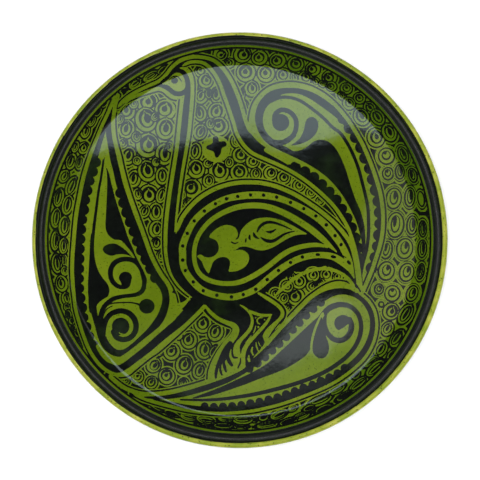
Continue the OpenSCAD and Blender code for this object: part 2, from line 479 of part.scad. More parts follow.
module lower_plume_flat() {
    brush(lower_tail);
    brush(lower_ring);
    blot(lower_spear);
    scallops([for (k = [5 : 9]) lower_tail[k] + [1, -1, 0] * lower_tail[k].z / 3], -1);
    scallops([for (k = [18 : 25]) lower_tail[k] + [-0.4, 1, 0] * lower_tail[k].z / 2], -1);
}

module lower_plume() color("black") scale(size) painted() difference() {
    lower_plume_flat();
    neck_flat();
    upper_plume_flat();
}

module lower_plume_spiral() color("black") scale(size) painted() difference() {
    union() {
        brush(lower_disc);
        blot(lower_drop);
    }
    lower_plume_flat();
}

module rosette() color("black") scale(size) painted() blot(rosette_cross);

module scales_at_left_rim() scale(size) scale_field(left_rim_edge, left_rim_rows);

module scales_by_neck() scale(size) scale_field(neck_edge, neck_rows);

module scales_by_breast() scale(size) scale_field(breast_edge, breast_rows);

module scales_at_right_rim() scale(size) scale_field(right_rim_edge, right_rim_rows);

module scales_below_legs() scale(size) scale_field(legs_edge, legs_rows);

module scales_by_tail() scale(size) scale_field(tail_edge, tail_rows);

clay_body();
foot_ring();
inside_glaze();
outside_glaze();
lip_glaze();
rim_band();
ring_line();
left_plume();
left_plume_spirals();
upper_plume();
upper_plume_spiral();
lower_plume();
lower_plume_spiral();
bird_body();
bird_flower();
bird_neck();
bird_head();
bird_legs();
body_dots();
rosette();
scales_at_left_rim();
scales_by_neck();
scales_by_breast();
scales_at_right_rim();
scales_below_legs();
scales_by_tail();
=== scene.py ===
# Looks of the hand painted dish: glaze, slip painting, studio and camera.
import json
import math

import bpy
import numpy as np
from mathutils import Matrix, Vector

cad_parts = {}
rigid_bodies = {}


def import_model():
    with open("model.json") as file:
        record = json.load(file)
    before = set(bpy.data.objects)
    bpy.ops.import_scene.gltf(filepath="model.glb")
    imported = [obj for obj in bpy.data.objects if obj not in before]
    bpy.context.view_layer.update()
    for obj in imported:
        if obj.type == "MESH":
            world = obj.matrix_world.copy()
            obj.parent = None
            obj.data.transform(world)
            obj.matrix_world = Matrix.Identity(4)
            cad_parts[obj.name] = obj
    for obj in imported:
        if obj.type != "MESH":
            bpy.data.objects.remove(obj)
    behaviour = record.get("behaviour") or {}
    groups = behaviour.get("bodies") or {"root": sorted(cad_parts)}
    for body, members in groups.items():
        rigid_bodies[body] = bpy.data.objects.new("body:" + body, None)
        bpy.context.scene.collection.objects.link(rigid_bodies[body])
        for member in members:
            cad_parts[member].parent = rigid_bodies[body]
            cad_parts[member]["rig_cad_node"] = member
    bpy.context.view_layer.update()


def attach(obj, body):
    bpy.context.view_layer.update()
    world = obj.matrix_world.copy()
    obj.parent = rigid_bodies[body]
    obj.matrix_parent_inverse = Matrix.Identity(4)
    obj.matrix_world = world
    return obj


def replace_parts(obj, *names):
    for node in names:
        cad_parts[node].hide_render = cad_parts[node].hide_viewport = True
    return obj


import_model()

MM = 0.001
EYE = Vector((0.085, -0.035, 2.4))  # where the camera stands, in metres
rng = np.random.default_rng(7)

# ---- the dish's profile, in millimetres: r and z of the visible inside surface ----
FLOOR_Z, WELL_R, WELL_RISE = 11.5, 127.0, 2.0
WELL_TILT, WALL_TILT = math.radians(12), math.radians(45)
WALL_R, UPPER_R, LIP_R = 34.0, 6.0, 2.1
WALL_C = (WELL_R - WALL_R * math.sin(WELL_TILT), FLOOR_Z + WELL_RISE + WALL_R * math.cos(WELL_TILT))
UPPER_C = (WALL_C[0] + (WALL_R - UPPER_R) * math.sin(WALL_TILT),
           WALL_C[1] - (WALL_R - UPPER_R) * math.cos(WALL_TILT))
LIP_C = (UPPER_C[0] + UPPER_R + LIP_R, UPPER_C[1])
FOOT_H, FOOT_R = 6.0, 80.0
GLAZE_EDGE = math.radians(-30)  # where the outside glaze meets the lip's
LIP_START = math.radians(178)  # where the inside glaze meets the lip's
BACK_TILT = math.radians(5)
BACK_R = (LIP_C[1] + LIP_R * math.sin(GLAZE_EDGE) - FOOT_H - 1) / (
    math.cos(BACK_TILT) - math.cos(math.pi / 2 + GLAZE_EDGE))
BACK_C = (LIP_C[0] + (LIP_R - BACK_R) * math.cos(GLAZE_EDGE),
          LIP_C[1] + (LIP_R - BACK_R) * math.sin(GLAZE_EDGE))


def profile_z(r):
    """Height of the well and the lower wall at radius r, up to the 45 degree slope."""
    well = FLOOR_Z + WELL_RISE * (r / WELL_R) ** 2
    wall = WALL_C[1] - np.sqrt(np.maximum(WALL_R ** 2 - (r - WALL_C[0]) ** 2, 1.0))
    return np.where(r < WELL_R, well, wall)


# a hand thrown surface is never quite even: a few long, shallow waves
WAVES = [(rng.uniform(0, 2 * math.pi), rng.uniform(0, 2 * math.pi), rng.uniform(16, 60)) for _ in range(14)]
WAVE_H = 0.0045


def unevenness(x, y):
    """How far the waves lift the surface, in millimetres."""
    z = 0.0
    for turn, phase, length in WAVES:
        k = 2 * math.pi / length
        z = z + WAVE_H * (length / 30) * np.sin(k * (x * math.cos(turn) + y * math.sin(turn)) + phase)
    return z


# ---- the painter: a field on the plan of the dish, negative where there is black slip ----
STEP = 0.5  # millimetres between the field's points
HALF = 300
SIDE = 2 * HALF + 1
AXIS = (np.arange(SIDE) - HALF) * STEP
GX, GY = np.meshgrid(AXIS, AXIS)
FAR = 3.0  # distances are only worked out this far from a shape
OWN_MARGIN = 0.6
OFF_X, OFF_Y = -0.75, 0.75  # the painted rings stand a little off the lip's centre
FIELD_R, RING_R, RING_W, BAND_R = 137.7, 138.5, 1.3, 140.45  # the painting's edge, the ring line, the band
RING = np.hypot(GX - OFF_X, GY - OFF_Y)
PIECES = ["ring_line", "left_plume", "left_plume_spirals", "upper_plume", "upper_plume_spiral",
          "lower_plume", "lower_plume_spiral", "bird_body", "bird_flower", "bird_neck", "bird_head",
          "bird_legs", "body_dots", "rosette", "scales_at_left_rim", "scales_by_neck",
          "scales_by_breast", "scales_at_right_rim", "scales_below_legs", "scales_by_tail"]
field = np.full((SIDE, SIDE), FAR)
owner = np.full((SIDE, SIDE), -1, np.int16)


def window(x0, x1, y0, y1):
    """The part of the field that covers a rectangle."""
    i0, i1 = (max(0, int(math.floor(v / STEP)) + HALF) for v in (y0, x0))
    j0, j1 = (min(SIDE, int(math.ceil(v / STEP)) + HALF + 1) for v in (y1, x1))
    return slice(i0, j0), slice(i1, j1)


def smooth(points, closed=False, spacing=1.2):
    """A smooth line through the points."""
    p = np.array(points, float)
    if len(p) < 3 and not closed:
        return p
    n = len(p)
    out = []
    for i in range(n if closed else n - 1):
        a, b, c, d = (p[(i + k) % n] if closed else p[min(max(i + k, 0), n - 1)] for k in (-1, 0, 1, 2))
        steps = max(2, int(math.hypot(*(c - b)[:2]) / spacing))
        for t in np.arange(steps) / steps:
            out.append(0.5 * (2 * b + (c - a) * t + (2 * a - 5 * b + 4 * c - d) * t * t
                              + (3 * b - 3 * c + d - a) * t ** 3))
    if not closed:
        out.append(p[-1])
    return np.array(out)


def chain(line, closed=False):
    """Distance to a line of [x, y, width]."""
    dist = np.full((SIDE, SIDE), FAR)
    count = len(line) if closed else len(line) - 1
    for i in range(count):
        a, b = line[i], line[(i + 1) % len(line)]
        reach = FAR + max(a[2], b[2]) / 2
        w = window(min(a[0], b[0]) - reach, max(a[0], b[0]) + reach,
                   min(a[1], b[1]) - reach, max(a[1], b[1]) + reach)
        px, py = GX[w] - a[0], GY[w] - a[1]
        dx, dy = b[0] - a[0], b[1] - a[1]
        t = np.clip((px * dx + py * dy) / max(dx * dx + dy * dy, 1e-9), 0, 1)
        d = np.hypot(px - t * dx, py - t * dy) - (a[2] + t * (b[2] - a[2])) / 2
        dist[w] = np.minimum(dist[w], d)
    return dist


def line(points, width=None, ends=(0, 0)):
    """A brush stroke. Points are [x, y, width], or [x, y] with one width; it tapers over its ends."""
    p = np.array(points, float)
    if width is not None:
        p = np.column_stack([p[:, :2], np.full(len(p), float(width))])
    p = smooth(p)
    run = np.concatenate([[0], np.cumsum(np.hypot(*np.diff(p[:, :2], axis=0).T))])
    if ends[0]:
        p[:, 2] *= np.clip(run / ends[0], 0.05, 1)
    if ends[1]:
        p[:, 2] *= np.clip((run[-1] - run) / ends[1], 0.05, 1)
    return chain(p)


def shape(points):
    """A filled smooth outline."""
    p = smooth(np.array(points, float)[:, :2], closed=True)
    x, y = p.T
    dist = chain(np.column_stack([p, np.zeros(len(p))]), closed=True)
    w = window(x.min() - 1, x.max() + 1, y.min() - 1, y.max() + 1)
    gx, gy = GX[w], GY[w]
    inside = np.zeros(gx.shape, bool)
    for i in range(len(p)):
        (ax, ay), (bx, by) = p[i - 1], p[i]
        if ay == by:
            continue
        crosses = ((ay > gy) != (by > gy)) & (gx < (bx - ax) * (gy - ay) / (by - ay) + ax)
        inside ^= crosses
    sign = np.ones((SIDE, SIDE))
    sign[w] = np.where(inside, -1, 1)
    return dist * sign


def round_spot(x, y, rx, ry=None, turn=0):
    """A filled circle or oval, turned by an angle in degrees."""
    ry = ry or rx
    reach = max(rx, ry) + FAR
    w = window(x - reach, x + reach, y - reach, y + reach)
    c, s = math.cos(math.radians(turn)), math.sin(math.radians(turn))
    u, v = (GX[w] - x) * c + (GY[w] - y) * s, (GY[w] - y) * c - (GX[w] - x) * s
    dist = np.full((SIDE, SIDE), FAR)
    dist[w] = (np.hypot(u / rx, v / ry) - 1) * min(rx, ry)
    return dist


def ink(piece, *dists):
    """Paints black shapes over the field; the ground just round them belongs to the piece too."""
    for d in dists:
        owner[(d < field) & (d < OWN_MARGIN)] = PIECES.index(piece)
        np.minimum(field, np.maximum(d, -FAR), out=field)


def gap(*dists):
    """Clears shapes down to the green ground."""
    for d in dists:
        np.maximum(field, np.minimum(-d, FAR), out=field)


def teeth(piece, points, period, size, side, start=0.5, lean=0.0):
    """A row of round teeth along a line; lean moves them off it to one side."""
    p = smooth(np.array(points, float)[:, :2], spacing=0.6)
    run = np.concatenate([[0], np.cumsum(np.hypot(*np.diff(p, axis=0).T))])
    for s in np.arange(period * start, run[-1], period):
        x, y = np.interp(s, run, p[:, 0]), np.interp(s, run, p[:, 1])
        ahead = min(s + 1, run[-1])
        tx, ty = np.interp(ahead, run, p[:, 0]) - x, np.interp(ahead, run, p[:, 1]) - y
        long = math.hypot(tx, ty) or 1
        nx, ny = -ty / long * side, tx / long * side
        ink(piece, round_spot(x + nx * lean, y + ny * lean, size * rng.uniform(0.93, 1.07)))


def egg(cell, grow=0.0, along=0.0, across=0.0):
    """An oval of a scale, grown and moved along and across its lean."""
    x, y, w, h, lean = cell
    ux, uy = math.sin(math.radians(lean)), math.cos(math.radians(lean))
    thin = max(w / 2 + grow, 0.35)
    return round_spot(x + ux * along + uy * across, y + uy * along - ux * across,
                      max(h / 2 + grow, thin), thin, 90 - lean)


def teardrop(cell, size, along=0.0, across=0.0, reach=1.1):
    """A scale's outline of a smaller or larger size, drawn out to a point at its top."""
    x, y, w, h, lean = cell
    ux, uy = math.sin(math.radians(lean)), math.cos(math.radians(lean))
    x, y = x + ux * along + uy * across, y + uy * along - ux * across
    tall = size + max(h - w, 0) / 2
    point = tall * reach
    tip = [x + ux * point - uy * across, y + uy * point + ux * across, 0.4]
    return np.minimum(round_spot(x, y, tall, size, 90 - lean), chain(np.array([[x, y, size * 1.5], tip])))


def scale(piece, cell, loops=False):
    """One scale: rings in each other, thick below and thin at the top, round a dark seed.

    A loop is a plainer scale, of round rings. All sizes are shares of the scale's half width r."""
    r = cell[2] / 2
    side = rng.choice([-1, 1])
    lean = side * rng.uniform(0.03, 0.12) * r
    if loops:
        gap(egg(cell, 0.75))
        ink(piece, egg(cell))
        gap(egg(cell, -1.2, 0.15, side * 0.15))
        if r > 3:
            ink(piece, egg(cell, -r * 0.47, r * 0.1, side * 0.2))
            gap(egg(cell, -r * 0.47 - 0.95, r * 0.16, side * 0.1))
            ink(piece, egg(cell, -r * 0.8, r * 0.42, side * r * 0.12))
        return
    ink(piece, teardrop(cell, r + 0.9, 0, 0, 1.04))
    gap(teardrop(cell, r, 0, 0, 1.08))
    ink(piece, teardrop(cell, r * rng.uniform(0.74, 0.8), r * rng.uniform(0.07, 0.12), lean, 1.04))
    if r < 2.3:
        return
    inner = r * rng.uniform(0.46, 0.54)
    gap(teardrop(cell, inner, -r * 0.02, lean, rng.uniform(1.3, 1.5)))
    ink(piece, teardrop(cell, inner * rng.uniform(0.5, 0.62), r * 0.08, lean * 1.6, 1.5))


# ---- the painting, on the plan: x to the right, y to the top; [x, y] or [x, y, width] in millimetres ----
PLUME_L = [(-90.5, 103.5), (-93, 98), (-96, 90), (-99, 83), (-102, 75), (-105, 67), (-107.5, 60),
    (-110.7, 50), (-113.2, 40), (-115.2, 30), (-117, 20), (-118.2, 10), (-119, 0), (-119.8, -10),
    (-120.2, -20), (-119.8, -30), (-119, -40), (-118, -50), (-115.5, -60), (-112.5, -70), (-109, -79),
    (-104.5, -86.5), (-100, -91.5), (-95, -95), (-90, -97), (-85, -97.3), (-80, -96), (-75, -92),
    (-65, -83.8), (-58, -79), (-45, -67.5), (-37, -60), (-29, -52.2), (-24, -46.8)]
PLUME_R = [(-88.5, 105), (-90, 98), (-90.6, 90), (-90.7, 83), (-90, 75), (-88.5, 68), (-86.3, 60),
    (-84, 50), (-81.3, 40), (-78.2, 30), (-74.6, 20), (-71, 10), (-67.4, 0), (-63.8, -10), (-60, -18),
    (-56, -25), (-52, -30.5), (-49, -36), (-46.5, -42.5), (-45.6, -49), (-46.6, -54.6), (-52.5, -60.5),
    (-60, -67), (-67, -72.6), (-75, -79), (-82, -84), (-88, -87.4), (-94, -87), (-99, -82.6),
    (-102.4, -77.4)]
NECK_L = [(-88, 95.5), (-85, 99), (-80, 101.6), (-75, 103.6), (-70, 105.4), (-65, 107), (-60, 108.5),
    (-57, 108.7), (-54, 107.6), (-51, 105), (-48, 102.9), (-45, 102.3), (-42.6, 103)]
NECK_DOWN = [(-40.4, 105.6), (-41.4, 98), (-42.3, 90), (-43.9, 75), (-45, 65), (-47.4, 50), (-49, 40),
    (-50.5, 30), (-51.8, 20), (-52.7, 10), (-53, 0), (-52.6, -10), (-50.6, -20), (-46.6, -28),
    (-41.4, -34.6), (-34, -40.4)]
NECK_R = [(-38, 123.4), (-35.2, 119.6), (-33.8, 115), (-33.4, 110), (-33.9, 100), (-34.8, 90),
    (-36.4, 75), (-38.9, 60), (-41, 48), (-43.6, 30), (-45.6, 12), (-46.3, 1)]
ARCH_OUT = [(-88, 97), (-80, 104), (-72, 108.4), (-65, 111.6), (-58, 114.7), (-53, 119.6), (-49, 125.4),
    (-43, 130.2), (-35, 132.7), (-28, 132.6), (-20, 130.4), (-14, 126), (-9, 120), (-4.6, 112.5),
    (-0.6, 103), (2.4, 94), (4.6, 86), (7.4, 79.4), (11, 74.6)]
ARCH_IN = [(-42, 125.6), (-37, 128.4), (-32, 129), (-27, 128.2), (-23, 125.8), (-19, 121.4), (-16, 117),
    (-13, 110.6), (-11, 104.4), (-8.6, 98), (-6.2, 91), (-4, 84.4), (-1.8, 77), (1.4, 71), (5, 66.4),
    (10, 62.2), (20, 57.6), (30, 53.2), (40, 47.8), (50, 41), (60, 32.6), (67, 25.6), (73, 17.6),
    (78, 9), (81.4, 0), (84, -10), (85.8, -20), (87, -30), (87.8, -37)]
PLUME_U = [(50, 52.4), (43, 56.2), (36, 59.6), (28, 63.4), (20, 67.6), (13.4, 72.8), (9.6, 78),
    (8.4, 84), (9, 90), (11, 97), (15, 103), (21, 108.2), (28, 111), (36, 112), (44, 111.2), (52, 108.8),
    (60, 104.5), (67, 99), (73, 92.6), (79, 85), (84, 77), (88.5, 69), (92.5, 60), (96, 51), (99, 42),
    (101.5, 33), (103, 23), (103.4, 13), (102.6, 3), (100.6, -6), (98, -14), (95.3, -22), (92, -30),
    (88, -39)]
PLUME_D = [(84.6, -36.6), (78, -32.8), (73, -31.3), (68, -31.7), (62, -34), (56, -37.8), (50, -42.4),
    (44.6, -47.8), (38.8, -53.8), (33, -59.8), (28, -65), (23.8, -69.8), (20, -74.4), (15.4, -79.8),
    (11, -84.2), (7.4, -87.8), (3, -91.2), (-3, -94.4), (-10, -97.4), (-20, -101), (-30, -104.3),
    (-40, -107.2), (-50, -109.5), (-60, -110.8), (-70, -110.9), (-78, -109), (-84, -106.4), (-90, -102),
    (-95, -97.5)]
PLUME_D_OUT = [(84, -36.6), (89, -40), (93.5, -44.4), (97, -50.4), (98.6, -57), (98.7, -64), (97, -72),
    (94, -79), (89.5, -85.6), (84, -91), (77, -96.7), (69, -102), (60, -106.6), (50, -110.8),
    (40, -114.6), (30, -118), (20, -120.6), (10, -122.7), (0, -123.9), (-12, -124.6), (-25, -124.2),
    (-38, -122.6), (-50, -120), (-60, -117.5), (-70, -114.4), (-78, -110.4)]
BODY_OUT = [(-45.8, 4), (-40.4, 17), (-30.5, 28.4), (-20, 35.4), (-10, 39.3), (0, 41.2), (10, 41.4),
    (17, 40.8), (25, 39), (32, 36.4), (40, 32.7), (50, 26.6), (60, 19.4), (69, 11.6), (76, 3.6),
    (80.6, -4), (83.4, -14), (85, -24), (86, -34)]
LEG_1 = [(-24.4, -47.4, 1.6), (-20.6, -52, 2.6), (-15, -56.6, 2.8), (-9, -59.4, 3.2), (-4.4, -61.2, 4),
    (-2.3, -64.6, 5), (-4.2, -69.4, 5.3), (-9, -75, 5.6), (-13.2, -80.2, 4.6), (-16.2, -85.2, 4.4),
    (-18.6, -90, 4.2), (-20.2, -95, 4), (-20.6, -99.6, 4)]
LEG_2 = [(0.8, -46.8, 0.8), (4, -48.8, 1.6), (7.2, -51.8, 1.8), (9, -55.4, 1.7), (9.4, -59.4, 2.2),
    (8, -63.8, 2.5), (4.8, -68, 2.6), (1.2, -71.8, 2.8), (-1.4, -75.8, 4), (-1.8, -80, 5), (-0.6, -84, 4)]
LEG_3_TOP = [(6, -50.4, 1), (10.4, -52.4, 2.2), (15, -53.9, 2.1), (20, -54.2, 2), (23.2, -53.7, 1.2)]
LEG_3 = [(22.8, -54, 1.2), (21, -57.6, 2), (18.6, -61, 2.3), (14.6, -65.4, 2.4), (10.4, -70, 2.5),
    (6.6, -74.2, 2.8), (4, -78.4, 3.2), (2.9, -83, 3.2), (3, -89.4, 3)]
LEG_4 = [(14, -38.2, 1.6), (20, -41.8, 2.6), (25, -45, 2.6), (29.4, -48.6, 2.6), (31.3, -52.4, 2.6),
    (29.8, -56.6, 3), (26, -60.8, 3.8), (22, -65, 4.6), (19.2, -69, 4.4), (18.6, -72.4, 2.6)]


def edge(piece, points, width, line_w=1.25, sliver=0.8):
    """The black line, and the thin green one, that part an outline from the scales beside it."""
    points = [point[:2] for point in points]
    gap(line(points, width + 2 * (line_w + sliver)))
    ink(piece, line(points, width + 2 * line_w))


def paint_edges():
    for piece, points, width in (
            ("left_plume", PLUME_L, 2.8), ("left_plume", PLUME_R, 3), ("bird_neck", NECK_L, 2.8),
            ("bird_neck", NECK_DOWN, 2.8), ("bird_neck", NECK_R, 2.4), ("bird_neck", ARCH_OUT, 2.8),
            ("bird_neck", ARCH_IN, 2.6), ("upper_plume", PLUME_U, 2.8), ("lower_plume", PLUME_D, 3.2),
            ("lower_plume", PLUME_D_OUT, 2.2), ("bird_body", BODY_OUT, 3), ("bird_legs", LEG_1, 3.8),
            ("bird_legs", LEG_4, 3)):
        edge(piece, points, width)


def paint_left_plume():
    me = "left_plume"
    gap(shape(PLUME_L[:-1] + PLUME_R[:20][::-1]))
    ink(me, line([(-92.5, 97, 1), (-94.5, 90, 4), (-98, 82, 6), (-101.4, 70, 5.4), (-103.8, 60, 4.6),
        (-107, 50, 4.8), (-109.8, 40, 4.8), (-112, 30, 4.6), (-113.6, 20, 4.6), (-114.8, 10, 4.8),
        (-115.8, 0, 4.8), (-116.4, -10, 5), (-116.6, -20, 5), (-116.4, -30, 5.2), (-115.7, -40, 5),
        (-114.4, -50, 4.8), (-112.2, -60, 5), (-109.2, -70, 5.2), (-104.6, -80, 6), (-100, -87, 6.4),
        (-94, -91.4, 5.7), (-88, -93, 5.5), (-82, -90.6, 5.2), (-75, -85.4, 5.3), (-65, -77.6, 5.6),
        (-55, -68.8, 6), (-44, -59.6, 7), (-36, -52, 8.5), (-30, -44, 9.4)]))
    teeth(me, [(-102.5, 58), (-106, 49), (-108.6, 40), (-111, 29), (-112.8, 18), (-114.2, 6),
        (-115.2, -6), (-115.6, -18), (-115.5, -30), (-114.6, -42), (-112.8, -53), (-110, -64),
        (-106.6, -73), (-103, -80)], 7.1, 3.7, 1, 0.3, 0.4)
    ink(me, line([(-96.3, 68, 1), (-97.8, 56, 1.5), (-99.4, 45, 1.7), (-101.2, 35, 1.8), (-102.9, 22, 2),
        (-104.4, 10, 2.2), (-105.4, 0, 2.4), (-106, -10, 3.2), (-106, -22, 4.6), (-105.8, -36, 6),
        (-105.2, -47, 5), (-103.6, -55, 4.2), (-101, -63, 4.6), (-98.6, -70, 5.6), (-94.6, -77, 5.8),
        (-88.5, -81.2, 5), (-82, -80.8, 4.8), (-75, -76.2, 5.2), (-69, -70.8, 5.5), (-64, -66, 5.6),
        (-59.5, -60.4, 5.8), (-55.5, -54, 5.8), (-53, -46, 5.4), (-52.8, -40, 5.2), (-54.6, -34, 5.6),
        (-57.5, -29.5, 6), (-63, -20, 6.2), (-68, -10, 6.6), (-72, 0, 6.4), (-75.6, 10, 5.4),
        (-79.2, 20, 5), (-82.4, 30, 4.4), (-86, 40, 5), (-88.3, 50, 4.8), (-90.8, 60, 5),
        (-92.6, 70, 4.4), (-93.4, 79, 5), (-92.6, 90, 2.4), (-91.6, 97, 0.8)]))
    teeth(me, [(-84.4, 36), (-82.2, 28.5), (-79.6, 21), (-77, 13.5), (-74.4, 6.5), (-71.5, -1),
        (-68.6, -8), (-65.4, -15), (-62, -21.5), (-58, -28)], 7.3, 3.8, -1, 0.25, 1.6)
    ink(me, shape([(-107, 2), (-104.9, -3), (-103.7, -14), (-101.6, -21.4), (-98.6, -26.8),
        (-94.9, -31.4), (-93.3, -36), (-94.4, -40.4), (-98.6, -43.2), (-102, -46.4), (-103.4, -51),
        (-106, -53), (-108.4, -45)]))
    # the spear
    ink(me, shape([(-96.9, 54), (-95.4, 50), (-95, 40), (-95.3, 30), (-95.8, 20), (-96.2, 10), (-95, 5),
        (-92.5, 2), (-89.5, 0.2), (-86, 0), (-83.5, -1.5), (-81, -4.5), (-78, -8), (-75.6, -11.6),
        (-71.4, -18), (-68.6, -24.6), (-68.4, -29), (-70.6, -22.6), (-73.4, -14.6), (-76.5, -6),
        (-80, 2), (-82.6, 10), (-86, 20), (-89.2, 30), (-91.8, 40), (-94, 49)]))
    gap(line([(-96.3, 77), (-96.6, 72), (-97, 66), (-98.2, 58)], 1.8, (5, 1)))
    gap(line([(-96.3, 77), (-95.4, 70), (-93.8, 60), (-92, 50)], 1.2, (5, 4)))
    gap(line(PLUME_L, 2.8), line(PLUME_R[:18], 3))
    gap(line([(-47.4, -40), (-45.6, -49), (-46.8, -55.2), (-53, -60.9), (-60.4, -67.2), (-67, -72.4),
        (-75, -78.9), (-82, -84), (-88, -87.2), (-94, -86.6), (-98.6, -82.2), (-101.6, -76.8)], 3.6))
    gap(shape([(-40, -44.4), (-34.6, -40.2), (-37.4, -45.4), (-44, -52.6), (-52, -60.6), (-50, -55),
               (-47, -47)]))


def paint_left_spirals():
    me = "left_plume_spirals"
    ink(me, shape([(-98.2, -6.6), (-96.6, -4.2), (-93, -2.7), (-89, -2.7), (-85.5, -4.5), (-81, -8),
        (-77.2, -12.2), (-80, -10.9), (-84, -10.2), (-88, -10.4), (-91, -11.3), (-94, -10.9), (-97, -9.2)]))
    ink(me, line([(-81.8, -27.6, 9.6), (-81.6, -30.2, 7)]))
    ink(me, line([(-78.6, -27.6, 2.4), (-80.2, -32.6, 3.2), (-84, -34, 3), (-88.4, -32.6, 3.3),
        (-91.8, -28.4, 3.5), (-92.6, -22.6, 3.6), (-90.6, -17.6, 3.7), (-86.4, -14.6, 3.6),
        (-80.6, -13.8, 3.4), (-75.2, -15.2, 3.6), (-71, -19.4, 3.9), (-68.6, -25.4, 3.8),
        (-68.1, -31.6, 3.6), (-70, -37, 3.3), (-75, -39.5, 2.9), (-83, -40.5, 2.8), (-90, -42.2, 3.2),
        (-95.2, -45.8, 3.4), (-98.6, -50.8, 3.2), (-99.9, -56.5, 3), (-99.6, -62, 2.6), (-98.6, -68, 2)]))
    ink(me, line([(-75, -11.4, 1), (-72.6, -16, 3.2), (-69.8, -22, 3.8), (-68.4, -28, 3.6)]))
    gap(line([(-74.2, -10, 1.2), (-72.6, -13.4, 1.5), (-69.6, -19, 1.5), (-67, -24.4, 1.5),
              (-65.6, -29, 1.6), (-66, -34, 2)]))
    ink(me, round_spot(-85.2, -62.2, 6.3))
    ink(me, line([(-98, -68, 4), (-97.4, -62, 4.2), (-94.6, -56, 4.2), (-90.4, -52.4, 4),
        (-85, -51, 3.9), (-79.4, -52.6, 4), (-75.6, -56.6, 4.2), (-74.2, -62, 4.3), (-75.6, -67.2, 4.2),
        (-79.4, -70.8, 4), (-84, -71.6, 3.8), (-88.4, -69.8, 3.8), (-90.6, -66, 3.4)]))
    gap(line([(-86.4, -66.6, 0.6), (-83.6, -68.2, 1.4), (-80.4, -68, 2), (-78, -65.6, 2.2),
        (-77.2, -61.8, 2.2), (-78.6, -57.6, 2.2), (-81.8, -55, 2), (-85.6, -54.3, 1.9), (-90, -55.2, 2),
        (-93, -58.6, 2.2), (-94.2, -63.6, 2.2), (-93.4, -68.4, 2.4)]))
    ink(me, line([(-100.6, -60, 0.8), (-99.6, -53.4, 1), (-96.2, -47.9, 1), (-91, -45.6, 1), (-83, -45, 1),
                  (-76.5, -45.2, 1.1), (-71.5, -46.6, 1.5)]))
    ink(me, line([(-98.7, -60, 0.7), (-97.6, -54, 0.9), (-95, -49.6, 0.9), (-91, -47.4, 0.6)]))
    ink(me, round_spot(-66.4, -47.7, 5.6, 5.3))


def paint_neck():
    me = "bird_neck"
    ink(me, shape([(-40, 105), (-41, 98), (-42, 88), (-44, 74), (-46.4, 56), (-49, 40), (-51, 24),
        (-52.6, 8), (-52.8, -6), (-50.8, -19), (-46, -29), (-38, -38), (-30, -30), (-38, -16), (-45, -2),
        (-45.6, 12), (-43.4, 30), (-40.6, 50), (-38, 66), (-35.8, 82), (-34, 98), (-33.4, 110),
        (-34.4, 118), (-38, 123.5), (-41, 126), (-37, 129), (-30, 130), (-24, 127.4), (-18.6, 121.6),
        (-14.6, 114), (-11, 105), (-7.4, 95), (-4.6, 86), (-2, 77.6), (3, 69), (10, 62.6), (22, 57),
        (36, 50.6), (50, 41.4), (62, 31), (72, 19.4), (79, 7), (83, -6), (86, -24), (87.6, -36),
        (89, -24), (90, -10), (89.4, 2), (85.6, 14), (80, 24.6), (73, 34.4), (64, 43.6), (54, 51),
        (42, 57), (30, 61.6), (18, 68), (9.6, 75), (5, 85), (0, 102), (-6, 115), (-13, 125.4),
        (-21, 131), (-30, 133), (-39, 132), (-46, 128.6), (-52, 121.4), (-58, 114.6), (-70, 109),
        (-80, 103.6), (-87, 97.4), (-80, 101.6), (-66, 106.8), (-57, 109), (-51, 105.6), (-45, 102.8)]))
    gap(line(NECK_L, 2.8, (3, 0)))
    gap(line([(-47, 103.4), (-43, 103.6), (-39.4, 106)], 2.2, (0, 2)))
    gap(line(NECK_DOWN, 2.8))
    gap(shape([(-43.9, 124.3), (-41, 125), (-37.6, 124.4), (-34.4, 121), (-32.6, 116), (-32.2, 110),
        (-32.7, 100), (-33.7, 90), (-36, 88), (-35.2, 100), (-34.9, 110), (-35.6, 115.6), (-38, 120.6),
        (-41, 123.2)]))
    gap(line([(-33.5, 106, 2.8), (-33.9, 100, 2.8), (-34.8, 90, 2.7), (-36.4, 75, 2.6), (-38.9, 60, 2.4),
        (-41, 48, 2.2), (-43.6, 30, 1.8), (-45.6, 12, 1.4), (-46.3, 2, 0.6)]))
    gap(line(ARCH_OUT[:-1], 2.8, (4, 0)))
    gap(line(ARCH_IN, 2.6, (3, 3)))


def paint_head():
    ink("bird_neck", shape([(-58, 112), (-52, 118.6), (-46, 123), (-40, 120.4), (-36.6, 112),
        (-39, 104.6), (-46, 103.6), (-52, 107.6)]))
    gap(shape([(-55.6, 112.2), (-51, 115.6), (-48.5, 118.9), (-45.6, 120.7), (-42.5, 120.2),
        (-40, 117.5), (-38.7, 113), (-38.9, 109.4), (-41, 107.4), (-44, 106.8), (-47, 107.9),
        (-49.5, 110.2), (-52, 111.7)]))
    me = "bird_head"
    ink(me, round_spot(-46.4, 114.7, 2.5, 2.3))
    ink(me, line([(-50.2, 115.4, 0.6), (-48, 117.6, 0.9), (-45, 117.9, 1), (-42.8, 116.2, 0.9),
                  (-41, 113.6, 0.5)]))


